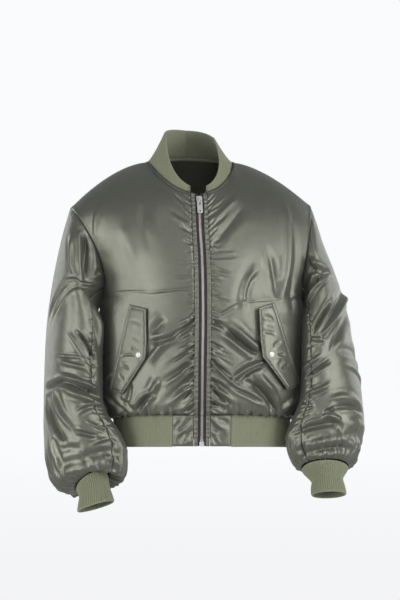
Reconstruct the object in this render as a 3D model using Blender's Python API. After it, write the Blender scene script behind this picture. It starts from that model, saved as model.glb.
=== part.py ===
"""A padded bomber jacket as it stands on a wearer: zipped shut, sleeves hanging, forearms a little forward.

The shell is cut in panels (two fronts, a back, two-piece sleeves) from satin, and the collar, cuffs and hem band
are rib knit. Every panel is a wall lofted through rows or rings, and neighbouring panels share their seam points,
so the walls meet in a mitre with a hair's gap. Metres, +Z up, the front faces -Y, the wearer's left is +X.
The origin is the centre of the neck opening, level with the tops of the shoulders.
"""
import math

import bmesh
import bpy
import numpy as np
from mathutils import Matrix, Vector
from mathutils.bvhtree import BVHTree

# ---------------------------------------------------------------- driving sizes
CLOTH = 0.0026  # wall of the padded satin shell
KNIT = 0.0030  # wall of the folded rib knit
STRIP = 0.0012  # wall of a folded satin strip
SEAM_GAP = 0.0002  # each piece stays this far back from its seam line
INNER_GAP = 0.0017  # and this much further on its inner face
LIFT = 0.0005  # what lies on a panel floats this far above it

NECK_HALF_WIDTH = 0.0915
NECK_FRONT_Y = -0.112
NECK_BACK_Y = 0.074
NECK_PIT_Z = -0.074
NECK_NAPE_Z = 0.012
NECK_DIP = 1.5  # how late the neckline dips towards the centre line: 1 is even
SHOULDER_TIP = (0.262, 0.005, -0.098)
SHOULDER_DROP = 1.70  # how late the shoulder seam turns down: 1 is straight
UNDERARM = (0.205, 0.010, -0.300)
ARMHOLE_REACH = {"front": 0.088, "back": 0.092}
ARMHOLE_BOW = {("right", "front"): 0.020, ("left", "front"): 0.004, ("right", "back"): 0.008, ("left", "back"): 0.008}

HEM_TALL = 0.0665
HEM_DRAW_IN = (0.985, 0.975)  # width and depth of the hem band's lower edge, as shares of its seam
TAB_WIDTH = 0.045  # the satin ends of the hem band, beside the zip
PLACKET_EDGE = 0.0170  # half the width of zip and plackets together
ZIP_GAP = 0.0088  # half the width of the slot between the plackets

# ---------------------------------------------------------------- grid sizes
NECK_COLUMNS, SHOULDER_COLUMNS = 4, 7  # across half a body panel
COLUMNS = NECK_COLUMNS + SHOULDER_COLUMNS
ROWS_BELOW = 11  # hem to underarm
ROWS_ABOVE = 8  # underarm to shoulder, and half the steps round an armhole
FINE = 48  # samples of a row's curve before it is divided evenly

SIDES = {"right": -1, "left": 1}

# ---------------------------------------------------------------- tables
# Fronts and back, one row for each height. mid_*: the centre line. side_*: the side seam (below the underarm).
# turn: how far round towards the side the row runs, as a share of a quarter turn. square: 2 is an ellipse.
ROW_NAMES = ("v", "mid_z", "mid_y", "side_x", "side_z", "turn", "square")
FRONT_ROWS = (
    # v     mid_z    mid_y   side_x  side_z  turn  square
    (0.00, -0.538, -0.148, 0.192, -0.552, 1.00, 2.25),
    (0.04, -0.534, -0.157, 0.203, -0.562, 1.00, 2.35),
    (0.09, -0.514, -0.164, 0.211, -0.546, 1.00, 2.45),
    (0.17, -0.478, -0.168, 0.216, -0.503, 1.00, 2.50),
    (0.30, -0.415, -0.170, 0.217, -0.430, 1.00, 2.50),
    (0.42, -0.350, -0.168, 0.215, -0.362, 1.00, 2.50),
    (0.55, -0.285, -0.164, 0.205, -0.300, 1.00, 2.50),
    (0.70, -0.215, -0.157, 0.205, -0.300, 0.86, 2.45),
    (0.85, -0.142, -0.141, 0.205, -0.300, 0.70, 2.35),
    (1.00, -0.074, -0.112, 0.205, -0.300, 0.60, 2.20),
)
BACK_ROWS = (
    # v     mid_z    mid_y   side_x  side_z  turn  square
    (0.00, -0.545, 0.132, 0.192, -0.552, 1.00, 2.25),
    (0.04, -0.556, 0.147, 0.203, -0.562, 1.00, 2.35),
    (0.09, -0.540, 0.158, 0.211, -0.546, 1.00, 2.45),
    (0.17, -0.495, 0.163, 0.216, -0.503, 1.00, 2.50),
    (0.30, -0.415, 0.158, 0.217, -0.430, 1.00, 2.50),
    (0.42, -0.335, 0.154, 0.215, -0.362, 1.00, 2.50),
    (0.55, -0.262, 0.154, 0.205, -0.300, 1.00, 2.50),
    (0.70, -0.175, 0.147, 0.205, -0.300, 0.86, 2.45),
    (0.85, -0.080, 0.122, 0.205, -0.300, 0.70, 2.35),
    (1.00, 0.012, 0.074, 0.205, -0.300, 0.60, 2.20),
)
UNDERARM_V = 0.55
CROWN_V = 0.66  # above this the rows start to lift towards the neckline and the shoulder seam
CORNER_SPREAD = 0.80  # how fast the corner between neckline and shoulder seam softens down the panel
NECK_SHARE = {"front": 0.46, "back": 0.40}  # share of the top edge that is neckline

# The wearer leans and turns a little: sideways shift, turn about Z, and rise of the left side for each metre
# across, by height.
STANCE_NAMES = ("z", "shift", "turn_deg", "tilt")
STANCE = (
    (-0.640, 0.0228, 0.0, 0.000),
    (-0.450, 0.0240, 0.2, 0.000),
    (-0.300, 0.0235, 0.8, 0.000),
    (-0.210, 0.0145, 3.4, 0.006),
    (-0.150, 0.0045, 6.2, 0.014),
    (-0.090, 0.0000, 8.6, 0.018),
    (0.080, -0.0040, 9.5, 0.000),
)

# Sleeves as they hang: the outermost and innermost point of each ring, its middle in depth, half its depth, how
# much higher its front is than its middle, because the forearm points forward, and how far its innermost point is
# ahead of its middle, where it wraps round the front of the body.
SLEEVE_NAMES = ("v", "out_x", "out_z", "in_x", "in_z", "mid_y", "deep", "front_up", "ahead")
SLEEVE_RINGS = {
    "right": (
        # v     out_x    out_z    in_x     in_z    mid_y   deep   front_up ahead
        (0.10, -0.2700, -0.136, -0.1975, -0.318, -0.026, 0.089, 0.000, 0.006),
        (0.22, -0.2860, -0.196, -0.1985, -0.336, -0.034, 0.092, 0.000, 0.024),
        (0.36, -0.3020, -0.278, -0.1970, -0.364, -0.040, 0.092, 0.004, 0.036),
        (0.50, -0.3125, -0.364, -0.1965, -0.413, -0.044, 0.090, 0.010, 0.038),
        (0.62, -0.3160, -0.450, -0.1960, -0.473, -0.050, 0.087, 0.018, 0.036),
        (0.73, -0.3160, -0.524, -0.1940, -0.530, -0.060, 0.085, 0.026, 0.030),
        (0.83, -0.3140, -0.591, -0.1750, -0.578, -0.072, 0.082, 0.032, 0.022),
        (0.91, -0.3060, -0.650, -0.1530, -0.628, -0.084, 0.076, 0.034, 0.014),
        (0.96, -0.2870, -0.693, -0.1470, -0.675, -0.096, 0.066, 0.032, 0.008),
        (1.00, -0.2425, -0.699, -0.1735, -0.667, -0.100, 0.050, 0.025, 0.000),
    ),
    "left": (
        # v     out_x    out_z    in_x     in_z    mid_y   deep   front_up ahead
        (0.10, 0.2730, -0.130, 0.2410, -0.308, 0.016, 0.089, 0.000, 0.010),
        (0.22, 0.2880, -0.176, 0.2430, -0.328, 0.002, 0.092, 0.000, 0.026),
        (0.36, 0.3130, -0.240, 0.2420, -0.354, -0.014, 0.092, 0.004, 0.042),
        (0.50, 0.3390, -0.320, 0.2405, -0.405, -0.026, 0.090, 0.010, 0.046),
        (0.62, 0.3500, -0.390, 0.2400, -0.470, -0.036, 0.087, 0.018, 0.042),
        (0.73, 0.3620, -0.460, 0.2390, -0.522, -0.048, 0.084, 0.026, 0.034),
        (0.83, 0.3680, -0.524, 0.2310, -0.570, -0.062, 0.080, 0.032, 0.024),
        (0.91, 0.3680, -0.580, 0.2220, -0.612, -0.076, 0.074, 0.034, 0.014),
        (0.96, 0.3550, -0.632, 0.2230, -0.643, -0.088, 0.064, 0.030, 0.006),
        (1.00, 0.3335, -0.653, 0.2325, -0.655, -0.096, 0.048, 0.024, 0.000),
    ),
}
FRONT_SEAM_STEP = 6  # steps round the armhole from its top, over the front, to each seam of the sleeve
BACK_SEAM_STEP = 14

# Cuffs: rings of the rib knit below the sleeve's end, given as for the sleeves.
CUFF_NAMES = ("w", "out_x", "out_z", "in_x", "in_z", "mid_y", "deep", "front_up", "ahead")
CUFF_RINGS = {
    "right": (
        # w     out_x    out_z    in_x     in_z    mid_y   deep   front_up ahead
        (0.00, -0.2415, -0.699, -0.1745, -0.668, -0.100, 0.048, 0.025, 0.000),
        (0.35, -0.2340, -0.713, -0.1710, -0.692, -0.108, 0.037, 0.018, 0.000),
        (0.70, -0.2350, -0.727, -0.1655, -0.706, -0.117, 0.034, 0.012, 0.000),
        (1.00, -0.2370, -0.742, -0.1600, -0.720, -0.125, 0.036, 0.010, 0.000),
    ),
    "left": (
        # w     out_x    out_z    in_x     in_z    mid_y   deep   front_up ahead
        (0.00, 0.3325, -0.655, 0.2335, -0.657, -0.096, 0.046, 0.024, 0.000),
        (0.35, 0.3200, -0.675, 0.2540, -0.679, -0.104, 0.036, 0.018, 0.000),
        (0.70, 0.3230, -0.691, 0.2530, -0.694, -0.113, 0.034, 0.014, 0.000),
        (1.00, 0.3260, -0.706, 0.2530, -0.708, -0.121, 0.036, 0.012, 0.000),
    ),
}

# The largest folds, seen from the front (or the back): ends as (x, z), half-width, and height off the panel.
FOLD_FADE = 0.12  # share of a panel, at each border, over which its folds rise from nought
FOLD_FACING = 0.2  # a fold shows where a normal's Y is under this
FOLD_NAMES = ("piece", "x0", "z0", "x1", "z1", "reach", "height")
FOLDS = (
    # piece            x0      z0      x1      z1     reach  height
    ("front_left", 0.056, -0.355, 0.150, -0.425, 0.020, 0.008),
    ("front_left", 0.060, -0.455, 0.160, -0.520, 0.022, 0.009),
    ("front_left", 0.140, -0.150, 0.175, -0.290, 0.022, -0.005),
    ("front_right", 0.010, -0.375, -0.060, -0.450, 0.020, 0.008),
    ("front_right", 0.008, -0.455, -0.075, -0.515, 0.022, 0.009),
    ("back", -0.120, -0.420, 0.030, -0.500, 0.026, 0.008),
    ("back", 0.180, -0.400, 0.060, -0.480, 0.026, 0.008),
    ("sleeve_right", -0.300, -0.520, -0.205, -0.480, 0.022, -0.008),
    ("sleeve_right", -0.290, -0.620, -0.190, -0.585, 0.022, -0.008),
    ("sleeve_left", 0.262, -0.400, 0.330, -0.310, 0.022, -0.008),
    ("sleeve_left", 0.270, -0.560, 0.350, -0.545, 0.022, -0.008),
)

# Flap pockets on the fronts, seen square on: the sewn edge runs from top to bottom, the flap hangs inwards from it.
FLAP_TOP = {"right": (-0.1265, -0.309), "left": (0.1740, -0.305)}
FLAP_BOTTOM = {"right": (-0.1720, -0.488), "left": (0.2240, -0.476)}
FLAP_WIDTH = 0.061
FLAP_SHAPE_NAMES = ("along", "width")
FLAP_SHAPE = ((0.00, 0.60), (0.36, 0.90), (0.54, 1.00), (1.00, 0.55))
FLAP_ACROSS, FLAP_DOWN = 4, 9
FLAP_THICK = 0.0018
FLAP_STAND = 0.0020  # how far the flap floats off the front at its sewn edge
FLAP_PROUD = {"right": 0.003, "left": 0.007}  # and how much further at its free edge
WELT_WIDTH = 0.0065
SNAP_PLACE = {"right": (0.52, 0.72), "left": (0.545, 0.65)}  # along and across the flap
SNAP_RADIUS, SNAP_TOP_RADIUS = 0.0055, 0.0040
SNAP_HEIGHT = 0.0022
SNAP_LIFT = 0.0014


# ---------------------------------------------------------------- curves
def column(table, names, name):
    """One named column of a table."""
    return np.array([row[names.index(name)] for row in table], float)


def smooth(at, places, values):
    """A cubic through values at places, read at the numbers in at."""
    at, places, values = np.asarray(at, float), np.asarray(places, float), np.asarray(values, float)
    slopes = np.gradient(values, places)
    i = np.clip(np.searchsorted(places, at, side="right") - 1, 0, len(places) - 2)
    step = places[i + 1] - places[i]
    t = np.clip((at - places[i]) / step, 0, 1)
    rise = values[i + 1] - values[i]
    start, end = slopes[i] * step, slopes[i + 1] * step
    return values[i] + t * (start + t * (3 * rise - 2 * start - end + t * (start + end - 2 * rise)))


def divided(curve, shares):
    """Points of a curve at these shares of its length."""
    steps = np.linalg.norm(np.diff(curve, axis=0), axis=1)
    along = np.concatenate([[0], np.cumsum(steps)]) / steps.sum()
    return np.stack([np.interp(shares, along, curve[:, k]) for k in range(3)], axis=1)


def length_of(curve):
    return float(np.linalg.norm(np.diff(curve, axis=0), axis=1).sum())


# ---------------------------------------------------------------- the body, before the wearer's stance
def armhole(side, half, angle):
    """The armhole seam at an angle from the shoulder tip (0) to the underarm (pi), over the front or the back."""
    top, low = np.array(SHOULDER_TIP), np.array(UNDERARM)
    angle = np.asarray(angle, float)[..., None]
    reach = np.array([0.0, ARMHOLE_REACH[half] * (-1 if half == "front" else 1), 0.0])
    bow = np.array([ARMHOLE_BOW[side, half], 0.0, 0.0])
    return (top + low) / 2 + (top - low) / 2 * np.cos(angle) + reach * np.sin(angle) - bow * np.sin(angle) ** 2


def neckline(half, share):
    """The collar seam from the centre line (0) to the shoulder seam (1)."""
    turn = np.asarray(share, float) * math.pi / 2
    front = half == "front"
    reach, low = (NECK_FRONT_Y, NECK_PIT_Z) if front else (NECK_BACK_Y, NECK_NAPE_Z)
    return np.stack([NECK_HALF_WIDTH * np.sin(turn), reach * np.cos(turn), low * np.cos(turn) ** NECK_DIP], axis=-1)


def shoulder(share):
    """The shoulder seam from the neck (0) to the tip (1): level at first, then rounding down."""
    share = np.asarray(share, float)
    x = NECK_HALF_WIDTH + (SHOULDER_TIP[0] - NECK_HALF_WIDTH) * share
    return np.stack([x, SHOULDER_TIP[1] * share, SHOULDER_TIP[2] * share**SHOULDER_DROP], axis=-1)


def top_edge(half, shares):
    """The top of a half panel at shares of its rows: the neckline up to its share, then the shoulder seam."""
    neck_share = NECK_SHARE[half]
    even = np.linspace(0, 1, FINE)
    neck, seam = divided(neckline(half, even), even), divided(shoulder(even), even)
    at = np.concatenate([even * neck_share, neck_share + even[1:] * (1 - neck_share)])
    edge = np.concatenate([neck, seam[1:]])
    return np.stack([np.interp(shares, at, edge[:, k]) for k in range(3)], axis=1)


def bare_row(side, half, shares, v):
    """A row of a half panel as a flattened ellipse from the centre line to the side seam or the armhole."""
    table = FRONT_ROWS if half == "front" else BACK_ROWS
    places = column(table, ROW_NAMES, "v")
    read = {name: float(smooth(v, places, column(table, ROW_NAMES, name))) for name in ROW_NAMES[1:]}
    if v <= UNDERARM_V:
        end = np.array([read["side_x"], UNDERARM[1] * v / UNDERARM_V, read["side_z"]])
    else:
        end = armhole(side, half, math.pi * (1 - v) / (1 - UNDERARM_V))
    angle = np.linspace(0, 1, FINE) * read["turn"] * math.pi / 2
    out = np.sin(angle) ** (2 / read["square"])
    back = np.maximum(np.cos(angle), 0) ** (2 / read["square"])
    back = (back - back[-1]) / (1 - back[-1])
    sink = (angle / angle[-1]) ** 2
    x = end[0] * out / out[-1]
    y = end[1] + (read["mid_y"] - end[1]) * back
    z = read["mid_z"] + (end[2] - read["mid_z"]) * sink
    return divided(np.stack([x, y, z], axis=1), shares)


def softened(offsets, places, at, spread):
    """Offsets at places from 0 to 1, read at other places through a soft window. They stay nought at both ends."""
    if spread < 1e-6:
        return np.stack([np.interp(at, places, offsets[:, k]) for k in range(3)], axis=1)

    def window(gap):
        return np.exp(-((gap / spread) ** 2))

    gap, over = at[:, None] - places, at[:, None] + places
    near, mirrored = window(gap), window(over) + window(2 - over)
    return (near - mirrored) @ offsets / (near + mirrored).sum(axis=1, keepdims=True)


def body_rows(side, half, shares, v):
    """Points of one row of a half panel at shares of its length from the centre line, for x above 0."""
    points = bare_row(side, half, shares, v)
    if v > CROWN_V:
        even = np.linspace(0, 1, FINE)
        offsets = top_edge(half, even) - bare_row(side, half, even, 1.0)
        lift = (v - CROWN_V) / (1 - CROWN_V) * math.pi / 2
        towards = np.array([1 - math.cos(lift), 1 - math.cos(lift), math.sin(lift)])
        points = points + softened(offsets, even, np.asarray(shares, float), CORNER_SPREAD * (1 - v)) * towards
    return points


def row_length(side, half, v):
    return length_of(body_rows(side, half, np.linspace(0, 1, FINE), v))


def column_shares(half, start=0.0):
    """Where a half panel's columns stand along its rows, with one where the neckline meets the shoulder seam."""
    neck = np.linspace(start, NECK_SHARE[half], NECK_COLUMNS + 1)
    return np.concatenate([neck, np.linspace(NECK_SHARE[half], 1, SHOULDER_COLUMNS + 1)[1:]])


# ---------------------------------------------------------------- the wearer's stance
def stand(points, side=None):
    """Mirrors a half to its side, and gives it the wearer's lean and turn."""
    points = np.array(points, float)
    if side:
        points[..., 0] *= SIDES[side]
    x, y, z = points[..., 0], points[..., 1], points[..., 2]
    places = column(STANCE, STANCE_NAMES, "z")
    shift, turn, tilt = (smooth(z, places, column(STANCE, STANCE_NAMES, name)) for name in STANCE_NAMES[1:])
    turn = np.radians(turn)
    across = x * np.cos(turn) - y * np.sin(turn) + shift
    return np.stack([across, x * np.sin(turn) + y * np.cos(turn), z + tilt * x], axis=-1)


# ---------------------------------------------------------------- sheets: grids of points, v up the rows
def body_heights():
    below = np.linspace(0, UNDERARM_V, ROWS_BELOW + 1)
    above = np.linspace(UNDERARM_V, 1, ROWS_ABOVE + 1)[1:]
    return np.concatenate([below, above])


def front_share(side, s, v):
    """The share of a front row at the distance s from the centre line."""
    return s / row_length(side, "front", v)


def front_sheet(side):
    rows = []
    for v in body_heights():
        shares = column_shares("front", front_share(side, PLACKET_EDGE, v))
        rows.append(stand(body_rows(side, "front", shares, v), side))
    sheet = np.array(rows)
    return sheet if side == "left" else sheet[:, ::-1]


def back_sheet():
    rows = []
    for v in body_heights():
        left = stand(body_rows("left", "back", column_shares("back"), v), "left")
        right = stand(body_rows("right", "back", column_shares("back"), v), "right")
        rows.append(np.concatenate([left[::-1], right[1:]]))
    return np.array(rows)


def ring(row, names, angle):
    """A ring's points, from its outermost (0) over the front (pi/2) to its innermost (pi) and round the back."""
    read = dict(zip(names, row))
    out = np.array([read["out_x"], read["mid_y"] + read["ahead"], read["out_z"]])
    inner = np.array([read["in_x"], read["mid_y"] - read["ahead"], read["in_z"]])
    forward = np.array([0.0, -read["deep"], read["front_up"]])
    angle = np.asarray(angle, float)[:, None]
    return (out + inner) / 2 + (out - inner) / 2 * np.cos(angle) + forward * np.sin(angle)


def armhole_ring(side, angle):
    """The armhole seam all round, at the sleeve's angles."""
    points = [
        armhole(side, "front", a) if a <= math.pi else armhole(side, "back", 2 * math.pi - a) for a in angle
    ]
    return stand(np.array(points), side)


def sleeve_sheet(side):
    """The whole sleeve as a grid: rings down its length, and angles once round."""
    angle = np.linspace(0, 2 * math.pi, 2 * ROWS_ABOVE + 1)
    table = SLEEVE_RINGS[side]
    places = np.concatenate([[0], column(table, SLEEVE_NAMES, "v")])
    rings = np.array([armhole_ring(side, angle)] + [ring(row, SLEEVE_NAMES, angle) for row in table])
    flat = rings.reshape(len(places), -1)
    halfway = (places[:-3] + places[1:-2]) / 2
    at = np.sort(np.concatenate([places, halfway]))
    lofted = np.stack([smooth(at, places, flat[:, k]) for k in range(flat.shape[1])], axis=1)
    return lofted.reshape(len(at), len(angle), 3)


def turned_out(sheet, side):
    """Rows run down a sleeve, so one side's grid is turned over to face outwards."""
    return sheet if side == "left" else sheet[::-1]


def rib_rows(side, half, shares, w):
    """The hem band from its seam (0) to its lower edge (1)."""
    top = body_rows(side, half, shares, 0.0)
    low = top * np.array([*HEM_DRAW_IN, 1.0]) - np.array([0.0, 0.0, HEM_TALL])
    return top + (low - top) * w


def facing(sheet):
    """Unit normals of a grid, from its neighbours' differences."""
    across, up = np.gradient(sheet, axis=1), np.gradient(sheet, axis=0)
    normal = np.cross(across, up)
    return normal / np.maximum(np.linalg.norm(normal, axis=2, keepdims=True), 1e-9)


def folded(name, sheet):
    """Raises the largest folds of a piece, faded out at its edges so that seams still meet."""
    rows, across = sheet.shape[:2]
    fade = np.ones((rows, across))
    for axis, count in ((0, rows), (1, across)):
        at = np.linspace(0, 1, count)
        edge = np.clip(np.minimum(at, 1 - at) / FOLD_FADE, 0, 1)
        if axis == 1 and name.startswith("sleeve"):
            edge[:] = 1  # a sleeve's grid runs all round
        fade *= edge[:, None] if axis == 0 else edge[None, :]
    normal = facing(sheet)
    seen = normal[..., 1] > 0 if name == "back" else normal[..., 1] < FOLD_FACING
    height = np.zeros((rows, across))
    for row in FOLDS:
        fold = dict(zip(FOLD_NAMES, row))
        if fold["piece"] != name:
            continue
        start, end = np.array([fold["x0"], fold["z0"]]), np.array([fold["x1"], fold["z1"]])
        run = end - start
        away = sheet[..., [0, 2]] - start
        t = np.clip(away @ run / (run @ run), 0, 1)
        off = np.linalg.norm(away - t[..., None] * run, axis=-1)
        height += fold["height"] * np.exp(-((off / fold["reach"]) ** 2)) * seen
    return sheet + normal * (height * fade)[..., None]


# ---------------------------------------------------------------- making solids
def material(name, colour, roughness, metallic=0.0):
    made = bpy.data.materials.get(name) or bpy.data.materials.new(name)
    made.use_nodes = True
    shader = made.node_tree.nodes["Principled BSDF"]
    shader.inputs["Base Color"].default_value = (*colour, 1)
    shader.inputs["Roughness"].default_value = roughness
    shader.inputs["Metallic"].default_value = metallic
    return made


def satin():
    return material("olive_satin", (0.135, 0.140, 0.115), 0.35)


def knit():
    return material("sage_rib_knit", (0.215, 0.235, 0.160), 0.85)


def zip_tape():
    return material("dark_zip_tape", (0.020, 0.018, 0.022), 0.80)


def nickel():
    return material("nickel", (0.700, 0.680, 0.650), 0.25, 1.0)


def add_object(name, mesh, finish):
    mesh.materials.append(finish)
    made = bpy.data.objects.new(name, mesh)
    bpy.data.collections["bomber_jacket"].objects.link(made)
    return made


def wall(name, sheet, thick, finish, inward=None, tube=False, inner_gap=0.0):
    """A closed wall from a grid of outer points: the grid, a copy moved inwards, and rims that join their borders."""
    sheet = np.asarray(sheet, float)
    inward = -facing(sheet) if inward is None else inward
    copy = pulled_back(sheet + inward * thick, inner_gap)
    build = bmesh.new()
    outer, inner = ([[build.verts.new(p) for p in row] for row in skin] for skin in (sheet, copy))
    if tube:
        for row in outer + inner:
            build.verts.remove(row[-1])
            row[-1] = row[0]
    last, end = len(outer) - 1, len(outer[0]) - 1
    for i in range(last):
        for j in range(end):
            build.faces.new((outer[i][j], outer[i][j + 1], outer[i + 1][j + 1], outer[i + 1][j]))
            build.faces.new((inner[i][j], inner[i + 1][j], inner[i + 1][j + 1], inner[i][j + 1]))
    for j in range(end):
        build.faces.new((outer[0][j + 1], outer[0][j], inner[0][j], inner[0][j + 1]))
        build.faces.new((outer[last][j], outer[last][j + 1], inner[last][j + 1], inner[last][j]))
    for i in range(0 if not tube else last, last):
        build.faces.new((outer[i][0], outer[i + 1][0], inner[i + 1][0], inner[i][0]))
        build.faces.new((outer[i + 1][end], outer[i][end], inner[i][end], inner[i + 1][end]))
    mesh = mesh_from(build, name)
    mesh.shade_smooth()
    return add_object(name, mesh, finish)


def pulled_back(sheet, gap=SEAM_GAP, ends=True, sides=True):
    """The grid with its border moved inwards by the seam's gap."""
    sheet = np.array(sheet, float)

    def towards(edge, inner):
        step = inner - edge
        return edge + step / np.maximum(np.linalg.norm(step, axis=-1, keepdims=True), 1e-9) * gap

    if ends:
        sheet[0], sheet[-1] = towards(sheet[0], sheet[1]), towards(sheet[-1], sheet[-2])
    if sides:
        sheet[:, 0], sheet[:, -1] = towards(sheet[:, 0], sheet[:, 1]), towards(sheet[:, -1], sheet[:, -2])
    return sheet


def mitred(sheets):
    """Inward directions of several grids, shared wherever their seam points meet."""
    total, keys = {}, {}
    for name, sheet in sheets.items():
        normal = facing(sheet)
        keys[name] = [tuple(k) for k in np.round(sheet.reshape(-1, 3), 5)]
        for key, one in zip(keys[name], normal.reshape(-1, 3)):
            total[key] = total.get(key, 0) + one
    inward = {}
    for name, sheet in sheets.items():
        summed = np.array([total[key] for key in keys[name]])
        inward[name] = (-summed / np.linalg.norm(summed, axis=1, keepdims=True)).reshape(sheet.shape)
    return inward


# ---------------------------------------------------------------- the shell
def shell_sheets():
    """Every satin panel of the shell as a grid of outer points, facing out."""
    sheets = {f"front_{side}": folded(f"front_{side}", front_sheet(side)) for side in SIDES}
    sheets["back"] = folded("back", back_sheet())
    for side in SIDES:
        whole = folded(f"sleeve_{side}", turned_out(sleeve_sheet(side), side))
        upper = np.concatenate([whole[:, BACK_SEAM_STEP:], whole[:, 1 : FRONT_SEAM_STEP + 1]], axis=1)
        sheets[f"sleeve_upper_{side}"] = upper
        sheets[f"sleeve_under_{side}"] = whole[:, FRONT_SEAM_STEP : BACK_SEAM_STEP + 1]
    return sheets


def make_shell(sheets):
    inward = mitred(sheets)
    for name, sheet in sheets.items():
        wall(name, pulled_back(sheet), CLOTH, satin(), inward[name], inner_gap=INNER_GAP)


# ---------------------------------------------------------------- rib knit
def make_cuffs():
    for side in SIDES:
        table = CUFF_RINGS[side]
        angle = np.linspace(0, 2 * math.pi, 2 * ROWS_ABOVE + 1)
        places = column(table, CUFF_NAMES, "w")
        flat = np.array([ring(row, CUFF_NAMES, angle) for row in table]).reshape(len(table), -1)
        at = np.linspace(0, 1, 5)
        sheet = np.stack([smooth(at, places, flat[:, k]) for k in range(flat.shape[1])], axis=1)
        sheet = turned_out(sheet.reshape(len(at), len(angle), 3), side)
        sheet = pulled_back(sheet, 2 * SEAM_GAP, sides=False)
        normal = facing(sheet)
        normal[:, 0] = normal[:, -1] = normal[:, 0] + normal[:, -1]
        normal /= np.linalg.norm(normal, axis=2, keepdims=True)
        wall(f"cuff_{side}", sheet - normal * LIFT, KNIT, knit(), -normal, tube=True)


COLLAR_ROWS = 4
COLLAR_HEIGHT = {"left": 0.066, "right": 0.0735}  # at the side of the neck
COLLAR_PIT = 0.010  # at its ends, beside the zip
COLLAR_NAPE = 0.9  # height at the nape, as a share of the side's
COLLAR_LEAN = 0.038  # how far its upper edge leans in over its seam at the sides
COLLAR_GROWTH = 2.2  # how late it grows from the zip to the side
COLLAR_LEAN_ENDS = 0.45  # the lean at the centre lines, as a share of the lean at the sides
COLLAR_CURL = 0.8  # how early the lean comes in over the height: 1 is even
COLLAR_GAP = 0.0010  # the seam gap below it, wider because the fold there is steep


def collar_row(side, half, share, w):
    """The collar at a share of its height above its seam."""
    turn = share * math.pi / 2
    tall = COLLAR_HEIGHT[side]
    if half == "front":
        grow = np.sin(turn) ** COLLAR_GROWTH
        high = COLLAR_PIT + (tall - COLLAR_PIT) * grow
    else:
        grow = COLLAR_NAPE + (1 - COLLAR_NAPE) * np.sin(turn)
        middle = (COLLAR_HEIGHT["left"] + COLLAR_HEIGHT["right"]) / 2
        high = middle * COLLAR_NAPE + (tall - middle * COLLAR_NAPE) * np.sin(turn)
    lean = COLLAR_LEAN * grow * (COLLAR_LEAN_ENDS + (1 - COLLAR_LEAN_ENDS) * np.sin(turn))
    inwards = np.stack([-np.sin(turn), np.cos(turn) * (1 if half == "front" else -1), np.zeros_like(turn)], axis=-1)
    rise = np.sqrt(np.maximum(high**2 - lean**2, 1e-6))
    up = np.stack([np.zeros_like(turn), np.zeros_like(turn), rise], axis=-1)
    return neckline(half, share) + inwards * (lean * w**COLLAR_CURL)[:, None] + up * w


# The four quarters that a band round the neck or the hem crosses, and whether each is taken backwards.
ROUND_THE_BODY = (
    ("left", "front", False),
    ("left", "back", True),
    ("right", "back", False),
    ("right", "front", True),
)


def collar_sheet():
    """The collar's grid, from its left end round the back to its right end, on the shell's own columns."""
    even = np.linspace(0, 1, FINE)
    made = []
    for w in np.linspace(0, 1, COLLAR_ROWS + 1):
        row = []
        for side, half, turned in ROUND_THE_BODY:
            start = front_share(side, PLACKET_EDGE, 1.0) if half == "front" else 0.0
            share = column_shares(half, start)[: NECK_COLUMNS + 1] / NECK_SHARE[half]
            steps = np.linalg.norm(np.diff(neckline(half, even), axis=0), axis=1)
            along = np.concatenate([[0], np.cumsum(steps)]) / steps.sum()
            points = stand(collar_row(side, half, np.interp(share, along, even), w), side)
            row.append((points[::-1] if turned else points)[1 if row else 0 :])
        made.append(np.concatenate(row))
    return np.array(made)


def make_collar():
    sheet = collar_sheet()
    up = sheet[1:2] - sheet[0:1]
    sheet = pulled_back(sheet, COLLAR_GAP)
    sheet[0] += (up / np.linalg.norm(up, axis=2, keepdims=True))[0] * COLLAR_GAP
    wall("collar", sheet, KNIT, knit())


HEM_COLUMNS = 10  # across half a body panel


def hem_sheet(rows):
    """The rib of the hem band, from its left end round the back to its right end, lower edge first."""
    made = []
    for w in np.linspace(1, 0, rows + 1):
        row = []
        for side, half, turned in ROUND_THE_BODY:
            start = front_share(side, PLACKET_EDGE + TAB_WIDTH, 0.0) if half == "front" else 0.0
            points = stand(rib_rows(side, half, np.linspace(start, 1, HEM_COLUMNS + 1), w), side)
            row.append((points[::-1] if turned else points)[1 if row else 0 :])
        made.append(np.concatenate(row))
    return np.array(made)


def make_hem():
    wall("hem_band", pulled_back(hem_sheet(2), 2 * SEAM_GAP), KNIT, knit())
    for side in SIDES:
        made = []
        for w in np.linspace(1, 0, 3):
            ends = [front_share(side, s, 0.0) for s in (PLACKET_EDGE, PLACKET_EDGE + TAB_WIDTH)]
            made.append(stand(rib_rows(side, "front", np.linspace(*ends, 4), w), side))
        sheet = np.array(made)
        sheet = sheet if side == "left" else sheet[:, ::-1]
        wall(f"hem_tab_{side}", pulled_back(sheet, 2 * SEAM_GAP), CLOTH, satin())


# ---------------------------------------------------------------- the zip
ZIP_STEPS = 18
TEETH_HALF = 0.0034
TEETH_THICK = 0.0030
TAPE_THICK = 0.0008
TAPE_DEPTH = 0.0010  # the tape's middle lies this far below the shell's outer face
SLIDER_V = 0.966
SLIDER_SPAN_V = 0.030  # the stretch of teeth below the slider's middle that is straight
ZIP_TOP_V = 0.995
ZIP_FOOT_V = -0.985


def centre_row(side, apart, v):
    """One row beside the centre line. Below the shell's last row, v runs from 0 to -1 down the hem band."""
    if v >= 0:
        return body_rows(side, "front", np.asarray(apart) / row_length(side, "front", v), v)
    return rib_rows(side, "front", np.asarray(apart) / row_length(side, "front", 0.0), -v)


def zip_line(side, apart, heights, out=0.0):
    """Points beside the centre line, this far apart from it, for each height, moved outwards by out."""
    sheet = stand(np.array([centre_row(side, apart, v) for v in heights]), side)
    sheet = sheet if side == "left" else sheet[:, ::-1]
    return sheet + facing(sheet) * out


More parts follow.
